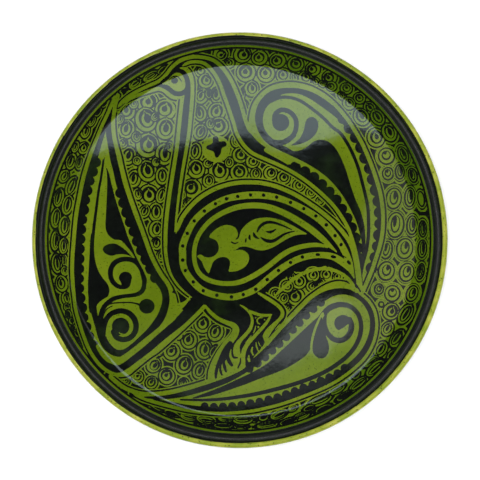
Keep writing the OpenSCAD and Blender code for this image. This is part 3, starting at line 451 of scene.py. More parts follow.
def paint_body():
    me = "bird_body"
    ink(me, shape([(-46, 6), (-40, 17.6), (-30, 28.8), (-20, 35.8), (-8, 40.2), (8, 41.6), (24, 39.4),
        (40, 33), (55, 23.4), (68, 12.6), (77, 2), (83, -14), (86, -34), (83, -32), (77, -25),
        (68, -20.4), (57, -18), (47, -19.4), (38, -23.8), (28, -31), (19, -38), (25, -44), (31, -50),
        (29.4, -57), (20, -67), (8, -81), (2, -91), (-8, -94.6), (-20, -99), (-19, -90), (-10, -78),
        (-2, -67), (-2, -61.6), (-9, -58.4), (-17, -53.6), (-25, -46.6), (-34, -41), (-42, -33.6),
        (-48, -25), (-51, -14), (-51.4, -2)]))
    # the dotted green band round the body, drawn over and under it to the tail
    gap(line([(-40.6, -10, 5.2), (-40.6, -4.3, 5.2), (-37.3, 4.7, 4.8), (-32.3, 13.7, 4.6),
        (-25, 20.8, 4.6), (-17, 26, 4.8), (-9, 29.6, 4.8), (-1, 31.3, 5), (8.2, 32.2, 5.2),
        (17.6, 32, 5), (27, 30.4, 4.8), (37, 26.8, 4.4), (46.5, 22, 4.8), (55.2, 16.6, 5),
        (62.7, 10.2, 5.2), (69, 2.6, 5.2), (73.6, -4, 4.8), (77, -10.6, 4.8), (79.6, -17, 4.2),
        (82.6, -27, 0.8)]))
    gap(line([(-40.6, -10, 5.2), (-40.4, -17, 5), (-38.4, -23, 4.8), (-33, -30.4, 4.8),
        (-25.8, -36.5, 4.8), (-16, -39.9, 4.8), (-5.5, -41.1, 4.8), (3, -39.3, 4.6), (12, -35.3, 4.6),
        (20.2, -28.5, 4.8), (28.3, -22, 4.8), (37, -16.4, 4.6), (45.5, -12.7, 4.6), (56.5, -10.9, 4.4),
        (67, -12, 4.8), (75, -16.6, 5), (80, -22, 3), (82.6, -27.4, 0.8)]))
    ink(me, line([(62, -6.4, 3), (68, -7.8, 1.6), (73, -10.4, 0.8), (77, -13, 0.5)]))
    # the green ring inside it
    gap(line([(63.5, -5, 1.6), (56, -3.6, 3), (47, -4.4, 3.4), (38, -7, 3.6), (30, -11.6, 3.8),
        (20, -19.6, 3.8), (10, -26, 3.8), (0, -30.4, 3.6), (-10, -31.4, 3.4), (-20, -29.6, 3.4),
        (-27, -25.6, 3.4), (-31, -19.4, 3.2), (-32.4, -10.6, 3.2), (-31.2, -2, 3.2), (-28, 5.2, 3.2),
        (-22, 12.6, 3.4), (-15, 17.7, 3.6), (-8, 21.2, 3.8), (0, 23.8, 4), (10, 24.8, 4.2),
        (20, 23.9, 4.2), (30, 20.4, 4.4), (40, 15.2, 4.6), (50, 8.8, 4.6), (58, 2.4, 4.4), (65, -4, 3),
        (70, -8.6, 0.8)]))
    gap(line(BODY_OUT, 3, (6, 3)))
    gap(line([(24, -42), (33, -33.4), (44, -25), (54, -21.4), (63, -20.8), (71, -23), (78, -27.6),
        (83.6, -35)], 2.4, (8, 3)))


def paint_dots():
    me = "body_dots"
    for x, y in [(-40.6, -14.5), (-40.6, -4.3), (-37.3, 4.7), (-32.3, 13.7), (-25, 20.8), (-17, 26),
                 (-9, 29.6),
                 (-1, 31.3), (8.2, 32.3), (17.6, 32.2), (27, 30.8), (37, 27), (46.5, 22.5), (55.2, 17.2),
                 (62.7, 10.8), (69, 3), (73.3, -3.4), (-38.7, -22), (-33, -30.2), (-25.8, -36.5),
                 (-16, -39.8),
                 (-5.5, -41), (3, -39.3), (12, -35.5), (20.2, -28.5), (28.3, -22), (37, -16.2),
                 (45.5, -12.3)]:
        ink(me, round_spot(x, y, rng.uniform(1.2, 1.4), rng.uniform(1.15, 1.35), rng.uniform(0, 180)))
    ink(me, round_spot(56.6, -10.6, 1.7, 1.1, -4), round_spot(67.8, -12.2, 2.1, 1.1, -12),
        round_spot(78.9, -16.3, 1.9, 1.1, -50))


def paint_flower():
    me = "bird_flower"
    gap(shape([(-21.5, 2.2), (-17.4, 7.2), (-12, 10.2), (-7.6, 10.7), (-3, 9), (-0.9, 5), (-1.4, 2),
        (-3, 0), (-0.6, 1), (0.5, 4), (1.6, 7), (5, 11), (10, 14.4), (15.4, 15.8), (22, 16), (30, 14.3),
        (38, 10.6), (44.6, 6.8), (49, 4.2), (44.6, 3.9), (40, 3.1), (35, 1), (30, -2), (25, -5),
        (20, -7), (16, -7.6), (12, -7), (8, -5.6), (4, -4.8), (0.6, -5.2), (-3.4, -7.8), (-2, -7.4),
        (2, -7.1), (6, -9.5), (7.2, -13), (6.1, -17), (3, -20.2), (-1, -22.1), (-4, -22.7),
        (-7.6, -22.4), (-6.6, -18), (-6.7, -15), (-8.5, -13), (-11, -12.2), (-15, -13), (-18.2, -15.6),
        (-20.4, -20.4), (-22, -24), (-25, -20), (-27, -15.4), (-30.2, -11.6), (-26, -10.4), (-22, -12.4),
        (-16.6, -10.4), (-14.6, -5.6), (-16.4, -0.6)]))
    ink(me, round_spot(-22, -5.6, 7.2, 7))
    ink(me, round_spot(-13.4, -19.4, 6.4, 6.2))
    ink(me, line([(13, 5.8, 1), (14, 8, 1.8), (16, 10.6, 2.2), (20, 12.6, 2.2), (25, 12.4, 1.9),
                  (32, 10, 1.3), (38, 7.2, 0.6)]))
    ink(me, line([(15.6, 1.8, 0.8), (17.6, 0.4, 1.8), (20.6, -0.8, 2.5), (24.4, -0.8, 2.4),
        (28, 1.2, 2.2), (32, 3.8, 1.7), (36, 5.4, 1.2), (40, 6.3, 0.7)]))
    ink(me, line([(19.6, 6, 0.8), (21.6, 5.6, 1.8), (24, 6.2, 1.8), (26.4, 7.6, 0.7)]))
    ink(me, line([(10.4, 5.2, 0.9), (11, 3.2, 2.1), (12.6, 1.7, 1.6), (14.4, 0.9, 0.6)]))
    ink(me, line([(7.6, 3.4, 1), (7.5, 1.6, 1.8), (7.9, 0, 0.8)]), line([(5, 1, 0.8), (4.8, -0.5, 1.4),
                  (4.6, -1.6, 0.8)]))
    ink(me, line([(-5.4, -1.6, 1), (-3, -2.6, 1), (-0.6, -1.6, 0.6)]))


def paint_upper_plume():
    me = "upper_plume"
    gap(shape(PLUME_U[4:] + ARCH_IN[-1:] + [(86, -28), (85, -14), (82, 0), (76, 14), (68, 27), (60, 36),
        (50, 44), (40, 51), (30, 57), (18, 64)]))
    ink(me, line([(38, 62.6, 3), (31, 65.8, 4.6), (24.6, 69.4, 5), (19.4, 73.8, 5), (15.8, 79.6, 4.8),
        (14.3, 87, 5.6), (15.8, 94.6, 6), (19.4, 100, 6.6), (24, 104, 6.2), (30, 106.6, 4.6),
        (37, 107.3, 3.9), (44, 106.6, 4), (52, 103.6, 5), (60, 98.6, 5.6), (67.4, 92.9, 5),
        (74.4, 86, 3.6), (80.4, 78.4, 3.4), (85.6, 70.2, 3.4), (90.2, 61, 3.4), (94, 51.6, 3.4),
        (97.2, 41.4, 3.4), (99.4, 31, 3.4), (100.6, 20.6, 3.2), (101, 9.6, 3.2), (100, -1, 3.2),
        (97.8, -11, 3.2), (94.8, -20, 3.2), (91.2, -29, 3), (87.6, -37, 2.6)]))
    teeth(me, [(66.5, 95.5), (70.4, 91.6), (76.2, 84.4), (81.6, 76.2), (86.2, 67.6), (90, 59),
        (93.4, 50.4), (96.2, 41.6), (98.2, 33), (99.8, 24), (100.4, 15), (100.2, 6), (99.2, -2.4),
        (97.4, -10.6), (95.2, -18.6), (92.4, -27)], 8.1, 4, 1, 0.45, 0.4)
    ink(me, line([(19, 97.4, 2), (24, 100.4, 2.6), (30, 102.4, 2.4), (37, 102.2, 2.3), (44, 99.9, 2.3),
        (52, 94.6, 2.3), (60, 88.1, 2.3), (67, 81.1, 2.3), (73, 76.4, 2.4), (78, 69, 2.4), (82, 61, 2.4),
        (85.5, 52, 2.4), (88, 43, 2.4), (90.5, 33, 2.4), (92.5, 23, 2.4), (93, 12, 2.4), (92.8, 2, 2.4),
        (91.4, -8, 2.3), (89, -17, 2.2), (86.6, -30, 2)]))
    # the dark heart of the plume
    ink(me, shape([(20, 74), (23.6, 70.6), (29, 66.6), (35, 64.2), (41, 63.8), (46, 65.2), (50, 67.8),
        (54, 70.8), (59, 71.9), (64, 70.6), (69, 66.2), (73, 59.4), (76.5, 51), (79, 43), (81.5, 35),
        (84.5, 27), (87.5, 20), (89.6, 12), (90.5, 5), (90.7, -3), (89.8, -16), (87.4, -28), (87.8, -16),
        (88.4, -5), (87.2, 3), (84.6, 12), (80.6, 21), (75.6, 30), (70, 37.7), (64, 44.2), (57, 49.7),
        (50, 54.1), (43, 57.8), (37, 60.4), (30, 63.2), (24, 67.4), (19, 72.4)]))
    # the toothed band below it, down to the arch
    ink(me, line([(36, 52.8, 3), (43, 49.8, 3.6), (50, 45.6, 4), (57, 40.4, 4.2), (64, 33.6, 4.6),
        (70, 26, 4.6), (75.4, 17, 4.4), (79.6, 8, 4), (82.6, -1, 3.6), (85, -10, 3.2), (86.8, -20, 2.6),
        (88, -30, 1.6)]))
    teeth(me, [(36, 53.6), (43, 50.8), (50, 46.8), (57, 41.8), (64, 35.2), (70.2, 27.6), (75.6, 18.8),
        (79.9, 9.8), (83, 1), (85.6, -8), (87.4, -16)], 7.6, 3.9, 1, 0.6, 0.4)
    gap(line(PLUME_U, 2.8, (8, 2)))
    gap(line(ARCH_OUT[-6:], 2.8, (0, 5)))
    gap(line(ARCH_IN[14:], 2.6, (0, 3)))


def paint_upper_spiral():
    me = "upper_plume_spiral"
    gap(shape([(27, 98.6), (34, 99.4), (42, 97.6), (50, 92.4), (56, 86), (56.6, 79), (52, 72.4),
        (44, 67.4), (36, 66.4), (28, 69.6), (21.8, 75.4), (18.4, 82), (18.2, 89), (21, 95)]))
    ink("upper_plume", line([(19.6, 73.4, 3), (24, 70.6, 3.6), (29.6, 69.8, 4), (35, 71.4, 3.4),
                             (39.4, 75.2, 3.4)]))
    ink(me, round_spot(30, 84.4, 6.1))
    ink(me, line([(26.6, 86.6, 6), (26.4, 90.6, 3.8), (29.6, 93.2, 3.4), (33.6, 93.2, 3.4),
        (37.4, 91.2, 3.4), (40.4, 87.4, 3.4), (41.2, 82.6, 3.4), (40.2, 77.6, 3.4), (37.4, 73.6, 3.4),
        (33.4, 71.2, 3.4)]))
    ink(me, shape([(47.6, 83.6), (48.8, 86.6), (51.2, 88.3), (54, 87.9), (56.2, 85.8), (57, 82.4),
        (56.3, 78.6), (54, 74.8), (50.4, 71.8), (46, 69.6), (41.6, 68.3), (37.4, 68), (40.4, 70),
        (43.6, 73), (45.6, 76.4), (46.8, 80)]))


def paint_lower_plume():
    me = "lower_plume"
    gap(shape([(84, -37), (89, -40), (93.5, -44.4), (97, -50.4), (98.6, -57), (98.7, -64), (97, -72),
        (94, -79), (89.5, -85.6), (84, -91), (77, -96.7), (69, -102), (60, -106.6), (50, -110.8),
        (40, -114.6), (30, -118), (20, -120.6), (10, -122.7), (0, -123.9), (-12, -124.6), (-25, -124.2),
        (-38, -122.6), (-50, -120), (-60, -117.5), (-70, -114.4), (-78, -110.4), (-70, -110.9),
        (-60, -110.8), (-50, -109.5), (-40, -107.2), (-30, -104.3), (-20, -101), (-10, -97.4),
        (-3, -94.4), (3, -91), (14, -81), (28, -65.4), (38.8, -53.8), (50, -42.4), (62, -34), (73, -31.3)]))
    # the band along its upper side and round its head
    ink(me, line([(-70, -113.6, 1), (-60, -113.4, 2.6), (-50, -112.4, 3.6), (-40, -110.6, 4.2),
        (-30, -108, 4.2), (-20, -105, 4.2), (-10, -101, 4.4), (-2, -97, 4.4), (4, -93, 5), (9, -89, 6),
        (15, -84.2, 5.6), (20.6, -79.2, 5.4), (25.8, -74, 5.4), (30.8, -68.6, 5.6), (36, -62.8, 5.8),
        (41.6, -56.8, 6), (50, -48.2, 6.4), (60, -41.2, 6.4), (67, -38, 5.2), (75, -37, 4.4),
        (83, -39, 4.2), (89, -43, 4.2), (93.4, -49, 4.2), (95.8, -56, 4.2), (96, -64, 4.4),
        (94, -72, 4.6), (90.6, -79, 4.8), (86, -85, 5), (79.6, -91, 5.2), (72, -97, 5.2),
        (62, -102.2, 5.2), (52, -106.4, 5.2), (42, -110.2, 5.2), (32, -113.8, 4.8), (22, -116.8, 4.6),
        (12, -119, 4.4), (0, -120.8, 4), (-12, -121.6, 3.8), (-25, -121.3, 3.4), (-38, -119.8, 3),
        (-50, -117.2, 2.2), (-62, -114.8, 1)]))
    teeth(me, [(61, -43.4), (53, -50.2), (46, -57), (39.8, -63.6), (33.7, -69.9), (28.8, -74.8),
        (23.9, -79.7), (19, -84.1), (14.8, -87.4), (9.7, -91.3), (4, -94.6)], 7.0, 2.9, -1, 0.4)
    teeth(me, [(79, -91.6), (72, -97), (65, -100.6), (58, -103.6), (50, -106.8), (42, -109.8),
        (34, -112.7), (26, -115.4), (18, -117.2), (10, -118.8), (2, -120.2), (-6, -121.2), (-14, -121.6),
        (-22, -121.4), (-30, -120.6)], 6.7, 2.9, 1, 0.4, -1.8)
    # the spear
    ink(me, shape([(-34, -113.8), (-20, -108.4), (-10, -104.2), (0, -99.6), (10, -94.8), (20, -88.8),
        (30, -79.8), (40, -70.6), (50, -61.2), (57, -55), (61.6, -50.6), (62, -55), (58, -60), (55, -65),
        (53.4, -70), (52.3, -75), (50.6, -79.6), (47, -83.8), (42, -87.4), (35, -91.6), (28, -94.8),
        (20, -97.8), (12, -100.8), (5, -103.6), (-3, -106.4), (-12, -109.4), (-22, -112.3)]))
    # the line round the spiral, back along the lower side
    ink(me, line([(58, -56, 3), (62, -51.6, 4), (66, -48.4, 4.2), (73, -46.4, 3.8), (80, -48, 3.4),
        (85, -52.6, 3.3), (87.3, -58.6, 3.2), (87.5, -65, 3.2), (85.6, -72, 3.2), (82, -78.4, 3.1),
        (77, -84, 3.1), (71, -88.8, 3.1), (64, -93.4, 3), (56, -97.4, 3), (47, -101, 3), (38, -104, 3),
        (28, -106.8, 3), (18, -109.3, 2.9), (8, -111.4, 2.8), (-2, -113, 2.6), (-12, -114.3, 2.4),
        (-25, -115, 2), (-42, -114.8, 1.2)]))
    gap(line([(x, y, 3.2) for x, y in PLUME_D[:13]] + [(20, -74.4, 2.4), (15.4, -79.8, 1.2), (11, -84.2, 0.7),
                                                       (8.6, -86.4, 0.4)]))
    gap(line([(4.4, -90.6, 1), (1.4, -92.4, 2.6)] + [(x, y, 3.2) for x, y in PLUME_D[18:]], None, (0, 2)))
    gap(line(PLUME_D_OUT, 2.2, (4, 3)))


def paint_lower_spiral():
    me = "lower_plume_spiral"
    drop_line = [(59.4, -55.4), (57.4, -59.4), (55.6, -64), (54, -69.4), (52.9, -75), (52.9, -79.6),
        (54.6, -83), (58, -85), (61.6, -84.4), (64, -81), (64.6, -76.6), (63.4, -71.8), (61.6, -67),
        (60.4, -61)]
    gap(shape([(60.4, -51.8), (56.4, -57.6), (53.6, -64.4), (51.6, -72), (51.2, -79.8), (53.4, -85),
        (58, -87.6), (63.6, -86.6), (67, -82), (67.6, -76), (65.6, -68.8), (62.6, -61)]))
    ink(me, shape(drop_line))
    ink(me, line([(74, -59.8, 11.2), (74.8, -59.4, 11)]))
    ink(me, line([(62.8, -52.8, 1), (61.4, -57.4, 2.8), (61.8, -62.6, 3.3), (64, -67.6, 3.5),
        (67.8, -71.2, 3.7), (72.6, -72.2, 3.9), (77, -70.2, 3.9), (80, -66, 4), (80.8, -61, 3.8),
        (79.4, -57, 3.4)]))
    gap(line([(69, -69.4, 0.8), (73.6, -68.6, 1.2), (76.8, -65.6, 1.6), (78.4, -61, 1)]))
    gap(line([(77.8, -61.2, 0.8), (75.4, -64, 2.2), (72, -66.6, 3.4)]))


def paint_legs():
    me = "bird_legs"
    gap(line(LEG_1), line(LEG_2), line(LEG_3_TOP), line(LEG_3), line(LEG_4))
    # the foot and its toes
    gap(shape([(-4.4, -78.4), (-1, -80), (1.4, -84), (4, -88), (3, -91), (-3, -94.6), (-9, -97.4),
        (-15, -99.8), (-20.4, -101), (-19.6, -94), (-17, -89), (-13, -84), (-9.4, -79.8), (-6.6, -78.8)]))
    ink(me, line([(-6.4, -74.4, 3.4), (-8.4, -77.6, 4.4), (-11.2, -82, 4), (-14, -87.4, 2.8),
                  (-15.8, -92, 2.4),
                  (-16.6, -96, 2.2), (-16.7, -99, 1.5)]))
    ink(me, line([(-8.6, -80, 3.4), (-10.2, -85, 3)]))
    ink(me, line([(-11.6, -86, 1), (-13.2, -90.4, 1), (-13.4, -94, 1.8), (-12.3, -97, 1.2)]))
    ink(me, line([(-9.8, -83, 1.6), (-11, -87.6, 1.8), (-10.4, -91.4, 2.3), (-9.4, -94.6, 1.4)]))
    ink(me, line([(-7.6, -78.6, 3), (-8.2, -83, 2.2), (-7.2, -87.2, 2.8), (-5.2, -90, 2)]))
    gap(line([(-6.1, -79.8, 0.5), (-5.9, -83, 0.9), (-4.8, -86.4, 0.9), (-3, -88.6, 0.7)]))
    ink(me, line([(-4.6, -76.8, 0.9), (-5, -81, 1.3), (-3.8, -84.4, 1.7), (-1.2, -84.6, 1)]))
    ink(me, line([(1, -84.8, 0.6), (0.9, -88, 1.3), (-0.8, -91.8, 1.1)]))
    # curls and stripes in the second leg
    gap(line([(17.2, -56, 0.5), (14.6, -55.9, 0.9), (13, -57.4, 1), (13.4, -59.6, 1), (15, -60.4, 0.7)]))
    gap(round_spot(11.9, -55.9, 0.6), round_spot(13.8, -62.6, 0.8), round_spot(18.3, -57.4, 0.5))
    gap(line([(12, -61.6, 0.5), (11.4, -64.4, 1), (10.2, -67, 0.6)]))
    gap(line([(8.8, -68.6, 0.5), (7, -71.2, 0.9), (4.6, -74.2, 0.5)]))
    # and between the third leg and the plume
    ink(me, shape([(16, -69), (12.4, -72.4), (8, -76.8), (5.8, -81), (5.2, -86), (6.6, -90), (12, -85.6),
        (15, -81.4), (17.6, -77.6), (18.6, -74)]))
    gap(line([(20.6, -71, 3), (19.4, -74.6, 2.4), (16.2, -78.8, 1.6), (12.4, -82.6, 1), (10.4, -84.6, 0.5)]))
    gap(line([(12.2, -73.6, 0.6), (12.5, -76.6, 1.1), (13.9, -79.8, 0.9)]))
    gap(line([(13.9, -73.2, 0.5), (15, -76, 0.8), (16.6, -77.6, 0.7)]))
    gap(line([(9.7, -77, 0.8), (9, -80, 1.5), (10.2, -82.6, 1.1)]))
    gap(line([(7.1, -82.6, 0.5), (6.9, -85.4, 1.9), (7.4, -87, 1.6)]))
    ink(me, round_spot(16.9, -74, 1.3), round_spot(14.7, -77.3, 1.1), round_spot(11.5, -81, 1.3))
    ink(me, line([(31.6, -56.6, 0.8), (28, -61.6, 1.9), (24.4, -66, 1.5), (21.2, -70.4, 0.5)]))
    gap(line([(29.4, -60.4, 0.4), (27.6, -62.6, 0.7), (25.6, -64.8, 0.4)]))


def paint_rosette():
    gap(round_spot(-16.5, 65.6, 10.2, 9.6))
    ink("rosette", shape([(-19, 73.6), (-17, 74.6), (-15, 73.8), (-14.5, 70.8), (-11.4, 71.1),
        (-9.2, 70), (-9.2, 67.6), (-12.4, 66), (-13.1, 62.6), (-15, 59.6), (-17, 59.4), (-18.3, 63.4),
        (-21, 64.5), (-23.4, 65.6), (-23.4, 67.6), (-21.2, 68.5), (-19, 70)]))


SCALES = {
    "scales_by_neck": [
        (-81, 93, 12, 13), (-66, 99, 15, 12), (-53, 93.6, 14.5, 13), (-81, 79.6, 11, 13),
        (-67, 86.6, 15, 17), (-53, 80, 13, 15), (-66, 68, 16, 17), (-80, 60.6, 11, 13),
        (-54, 61.6, 12, 15), (-75.6, 44, 9, 12), (-66, 49.6, 13, 15), (-55.4, 46, 9, 12),
        (-65, 32, 14, 15), (-73, 33, 6, 8), (-56, 32, 7, 11), (-60, 20, 10, 13), (-68, 20.4, 7, 9),
        (-59.6, 7.6, 10, 12), (-59, -2.6, 7.4, 9), (-56, -11.4, 6, 8), (-85.6, 87, 5, 7),
        (-74, 74, 6, 7), (-84, 69.6, 7, 6), (-73.4, 57, 6, 6), (-60, 56, 5, 6), (-76, 97.6, 6, 5),
        (-60.6, 88.6, 5, 6), (-49.6, 67, 5, 7)],
    "scales_by_breast": [
        (-27, 121.6, 9, 9), (-24, 114.4, 10, 10), (-27, 103.4, 9, 11), (-15.8, 104, 9, 11),
        (-28, 91, 8.6, 11), (-16, 92, 12, 13), (-14.6, 81.6, 13, 10), (-28, 77.6, 9, 11),
        (-31.6, 63.6, 8.4, 12), (-31, 51, 12, 13), (-14.6, 49.4, 14, 15), (-34, 37, 13, 12),
        (1, 61, 11, 10), (0, 48.6, 12, 12), (9.6, 56.4, 9, 9), (22.6, 48, 9, 9), (32, 44.8, 9, 8),
        (43, 39, 8, 7), (-22, 42.4, 8, 9), (12, 47.4, 7, 8), (-2.6, 70.6, 6, 8), (-22.6, 55, 6, 6),
        (-7, 55.6, 6, 7), (-20.6, 83.6, 6, 7), (51.6, 33.6, 6.4, 6), (-39, 51, 5, 8), (-41, 33, 5, 8),
        (58, 28, 4.6, 4.6), (-32.4, 112, 5, 7), (-22, 105, 4, 6), (-37.4, 26.4, 6, 7)],
    "scales_at_right_rim": [
        (-14, 134.6, 10, 8, 80), (2, 134, 12, 9, 20), (14.5, 131.6, 11, 10, -10),
        (27.5, 129.5, 11, 10, -20), (40.5, 127, 11, 10, -30), (53, 123.6, 10, 9, -30),
        (65, 117.4, 10, 9, -30), (-7, 127.4, 7, 7, 0), (5, 120.4, 13, 13, 0), (19.4, 119.6, 12, 12, -10),
        (32, 118.4, 10, 9, -10), (40, 116.6, 5.6, 7, -20), (47.6, 116.6, 9, 9.5, -20),
        (55, 113.6, 5.6, 7, -30), (60, 112.2, 4.6, 5, -30), (66.4, 110.6, 7, 7, -30),
        (9, 108.6, 10, 11, 0), (5.4, 95, 3.6, 8, -10), (2.4, 104, 3, 8, 10), (77, 109.4, 8, 8, -40),
        (74, 103.6, 5, 6, -30), (86.5, 102.4, 8, 8, -40), (79, 98, 8.4, 9, -30), (94, 95.4, 8, 9, -40),
        (88, 88.4, 10.4, 12.4, -30), (99.6, 88.6, 9, 12, -30), (98.4, 73.4, 12, 13, -10),
        (108, 77.6, 10, 13, -20), (106, 60, 12.6, 12.8, -10), (118, 61.4, 8.4, 13.4, -20),
        (107, 47.4, 9, 10, 0), (115.4, 48.8, 7.6, 11.6, 0), (125, 46.6, 7.4, 11.6, -15),
        (111, 29.6, 12, 16, 6), (122.6, 30.6, 8.6, 15, 4), (131, 29.6, 6, 12, -8),
        (112.4, 10.6, 13, 19, 6), (124.2, 10.4, 8.8, 14.6, 4), (132, 8, 6.8, 13, 0),
        (105.8, -7.4, 9.4, 14, 12), (118.8, -6.4, 12.6, 15.6, 10), (131.6, -6.4, 7.6, 14, 4),
        (105.6, -22.4, 12.6, 14.4, 12), (120.2, -23.4, 11.4, 14.2, 16), (130.6, -22.6, 6.4, 12.6, 10),
        (110, -38.6, 12, 12.6, 20), (100.4, -35.4, 7.6, 8.6, 10), (124.2, -38.6, 9.4, 13, 22),
        (102, -46.4, 4.8, 5, 10), (109, -51.4, 10.8, 11.6, 30), (119.4, -53.4, 8.4, 15, 32),
        (106.6, -64, 8, 10, 30), (113.6, -71, 8, 14, 36), (101.8, -78.6, 8.4, 12, 32),
        (109.4, -82.6, 3.8, 8, 40), (95, -87.4, 4.8, 12, 54), (97.6, -92.4, 7, 15.4, 48),
        (84, -97.4, 3.8, 6, 50), (86, -104, 6.4, 16, 52), (70, -107.4, 5.4, 12.6, 62),
        (76, -112.2, 4.2, 13, 60), (58.4, -115.4, 6.8, 17, 66), (60, -121.6, 3.8, 11, 64),
        (44.6, -127, 4.8, 12.6, 68), (38.4, -120.8, 4.6, 7, 60), (35.4, -130.8, 4.2, 13, 72),
        (28.6, -125.2, 6.4, 13, 64), (20, -133.4, 4.6, 15, 80), (17.4, -127.8, 4.4, 6.4, 70),
        (11, -129.2, 3.8, 5, 60), (2.4, -129.4, 6.6, 14, 88), (0.6, -134.8, 2.8, 9, 88),
        (-10, -128.6, 4.8, 10.4, 94), (-12, -134, 3.6, 13, 92), (-24, -129.2, 6.6, 14, 98),
        (-27, -134, 2.6, 8, 100), (-37.4, -127.8, 4.8, 11, 104), (-49, -125, 3.8, 11, 110),
        (-60, -120.8, 3.2, 10, 118), (-70, -115.8, 2.6, 8, 124), (50, -121, 3.6, 8, 66),
        (92, -80.6, 3, 9, 46)],
    "scales_at_left_rim": [
        (-112, 78.6, 6.6, 9, 14), (-112.8, 66.4, 8, 8.6, 10), (-119.2, 67.6, 5, 8, 20),
        (-122, 57, 7.6, 11.6, 16), (-115, 55.6, 6.8, 10, 12), (-127.4, 46.4, 7.4, 9.4, 30),
        (-121.2, 38.6, 8.4, 14.4, 24), (-131, 30.6, 7.4, 13, 14), (-123.8, 25.2, 8.6, 14, 12),
        (-133, 16, 7.8, 14, 8), (-126.4, 10, 8.6, 14, 4), (-133.6, -0.4, 6.8, 13.6, 4),
        (-126.8, -4.4, 7, 11, 2), (-132.4, -17, 8, 13.4, -6), (-125.6, -15, 4.6, 9, -4),
        (-126, -22.4, 5.8, 6.6, -4), (-128.6, -31.4, 9.6, 11.4, -10), (-125.4, -42.4, 7, 9, -12),
        (-125.2, -48.4, 4.6, 5, -14), (-123.8, -53.6, 4, 6, -18), (-121.6, -58.6, 4.4, 4.6, -20),
        (-120.2, -63, 3, 4, -24), (-118.2, -67.4, 2.8, 5, -26), (-115.4, -73, 2.4, 5.6, -28),
        (-107.4, 86.4, 4.8, 8, 26), (-102.8, 93, 3.8, 7, 34), (-98, 98.8, 3, 6, 40),
        (-85, 108, 3.4, 7, 48), (-76, 113.4, 6.4, 10, 54), (-64.6, 118.8, 5.6, 12, 58),
        (-56, 123.4, 3.6, 8, 50)],
    "scales_below_legs": [
        (-26, -60.4, 12, 12.6, 10), (-16.8, -66.4, 10.6, 12.6, 20), (-25, -79, 10.6, 13, 10),
        (-28.6, -94, 9, 11.6, 20), (-36, -72, 11, 12, 10), (-39.6, -89.6, 11.4, 12.8, 20),
        (-48.4, -80.4, 11, 11.6, 30), (-52, -98, 11, 10.6, 30), (-61.4, -90, 9.6, 10.6, 40),
        (-63, -102.6, 8, 8.6, 40), (-73, -98.4, 8, 8, 50), (-39.6, -102.6, 6, 5.6, 20),
        (-82, -101.6, 5, 6, 60), (-18.6, -80, 4, 8, 30), (-43.4, -69, 5, 5.4, 30), (-57, -81, 4, 5, 30)],
    "scales_by_tail": [
        (53, -25.4, 9, 9), (63, -25, 9, 8), (41, -41, 12, 10), (32, -42, 7, 8), (43, -30, 10, 9),
        (34.6, -33.6, 8, 8), (52, -33.4, 7, 6), (71, -26.4, 7, 6), (26, -38.6, 6, 6), (35, -49.6, 5, 5),
        (38, -26.6, 5, 5), (59, -30.6, 5, 5)],
}


CORNER_LINE = 1.05, 2.0  # the green line in the corners runs this far from the scales
LOOPS_X, LOOPS_Y = 97, (-49, 66)  # the scales at the right rim that are plain loops


def paint_scales():
    """Fills the grounds: each scale, and a green line in the corners left between them."""
    cells = []
    for name, row in SCALES.items():
        for cell in row:
            x, y, w = cell[:3]
            h = cell[3] if len(cell) > 3 else w * 1.1
            lean = cell[4] if len(cell) > 4 else rng.uniform(-15, 24)
            cells.append((name, (x, y, w, h, lean)))
    near = np.full((SIDE, SIDE), math.inf)
    between = np.full((SIDE, SIDE), FAR)
    for name, cell in cells:
        away = (GX - cell[0]) ** 2 + (GY - cell[1]) ** 2
        closer = away < near
        near[closer] = away[closer]
        owner[closer] = PIECES.index(name)
        np.minimum(between, egg(cell), out=between)
    field[:] = np.clip(RING - FIELD_R, -FAR, FAR)
    gap(np.maximum(CORNER_LINE[0] - between, between - CORNER_LINE[1]))
    for name, cell in cells:
        scale(name, cell, loops=cell[0] > LOOPS_X and LOOPS_Y[0] < cell[1] < LOOPS_Y[1])


def paint():
    """Paints the parts in the order in which they cover each other."""
    for part in (paint_scales, paint_edges, paint_neck, paint_upper_plume, paint_upper_spiral,
                 paint_left_plume, paint_left_spirals, paint_head, paint_body, paint_lower_plume,
                 paint_lower_spiral, paint_legs, paint_flower, paint_dots, paint_rosette):
        part()
    gap(FIELD_R - RING)
    ink("ring_line", np.abs(RING - RING_R) - RING_W / 2)


paint()


# ---- meshes ----
TURN_STEPS = 360
SLIP_LIFT, SLIP_DOME, SLIP_ROOT = 0.09, 0.035, -0.14  # the slip's top, its swell and its underside
EYE_X, EYE_Y, DEPTH_SHIFT = 85.0, -35.0, 0.009  # the outlines are as the camera sees them at the lip's height
SHIFT_END, SHIFT_FADE = 137, 12  # the shift ends at this radius, where the wall nears the lip's plane
SWELL_W, CREASE_W = 0.9, 3  # the slip swells over this width; fine faces run this far round the well's edge
WELL_SIDE, WALL_SIDE = 0.1, 0.7  # how far from the well's edge the shading of either side is taken


def new_piece(name, points, loops, totals, material, normals=None, sharp=35):
    """A mesh piece, in millimetres, that rides on the dish."""
    mesh = bpy.data.meshes.new(name)
    mesh.vertices.add(len(points))
    mesh.vertices.foreach_set("co", (np.asarray(points, float) * MM).ravel())
    mesh.loops.add(len(loops))
    mesh.loops.foreach_set("vertex_index", np.asarray(loops, np.int32))
    mesh.polygons.add(len(totals))
    mesh.polygons.foreach_set("loop_start", np.concatenate([[0], np.cumsum(totals)[:-1]]).astype(np.int32))
    mesh.update(calc_edges=True)
    mesh.polygons.foreach_set("use_smooth", np.ones(len(totals), bool))
    if normals is None:
        mesh.set_sharp_from_angle(angle=math.radians(sharp))
    else:
        mesh.normals_split_custom_set(normals)
    mesh.materials.append(material)
    piece = bpy.data.objects.new(name, mesh)
    bpy.context.scene.collection.objects.link(piece)
    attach(piece, "root")
    return piece


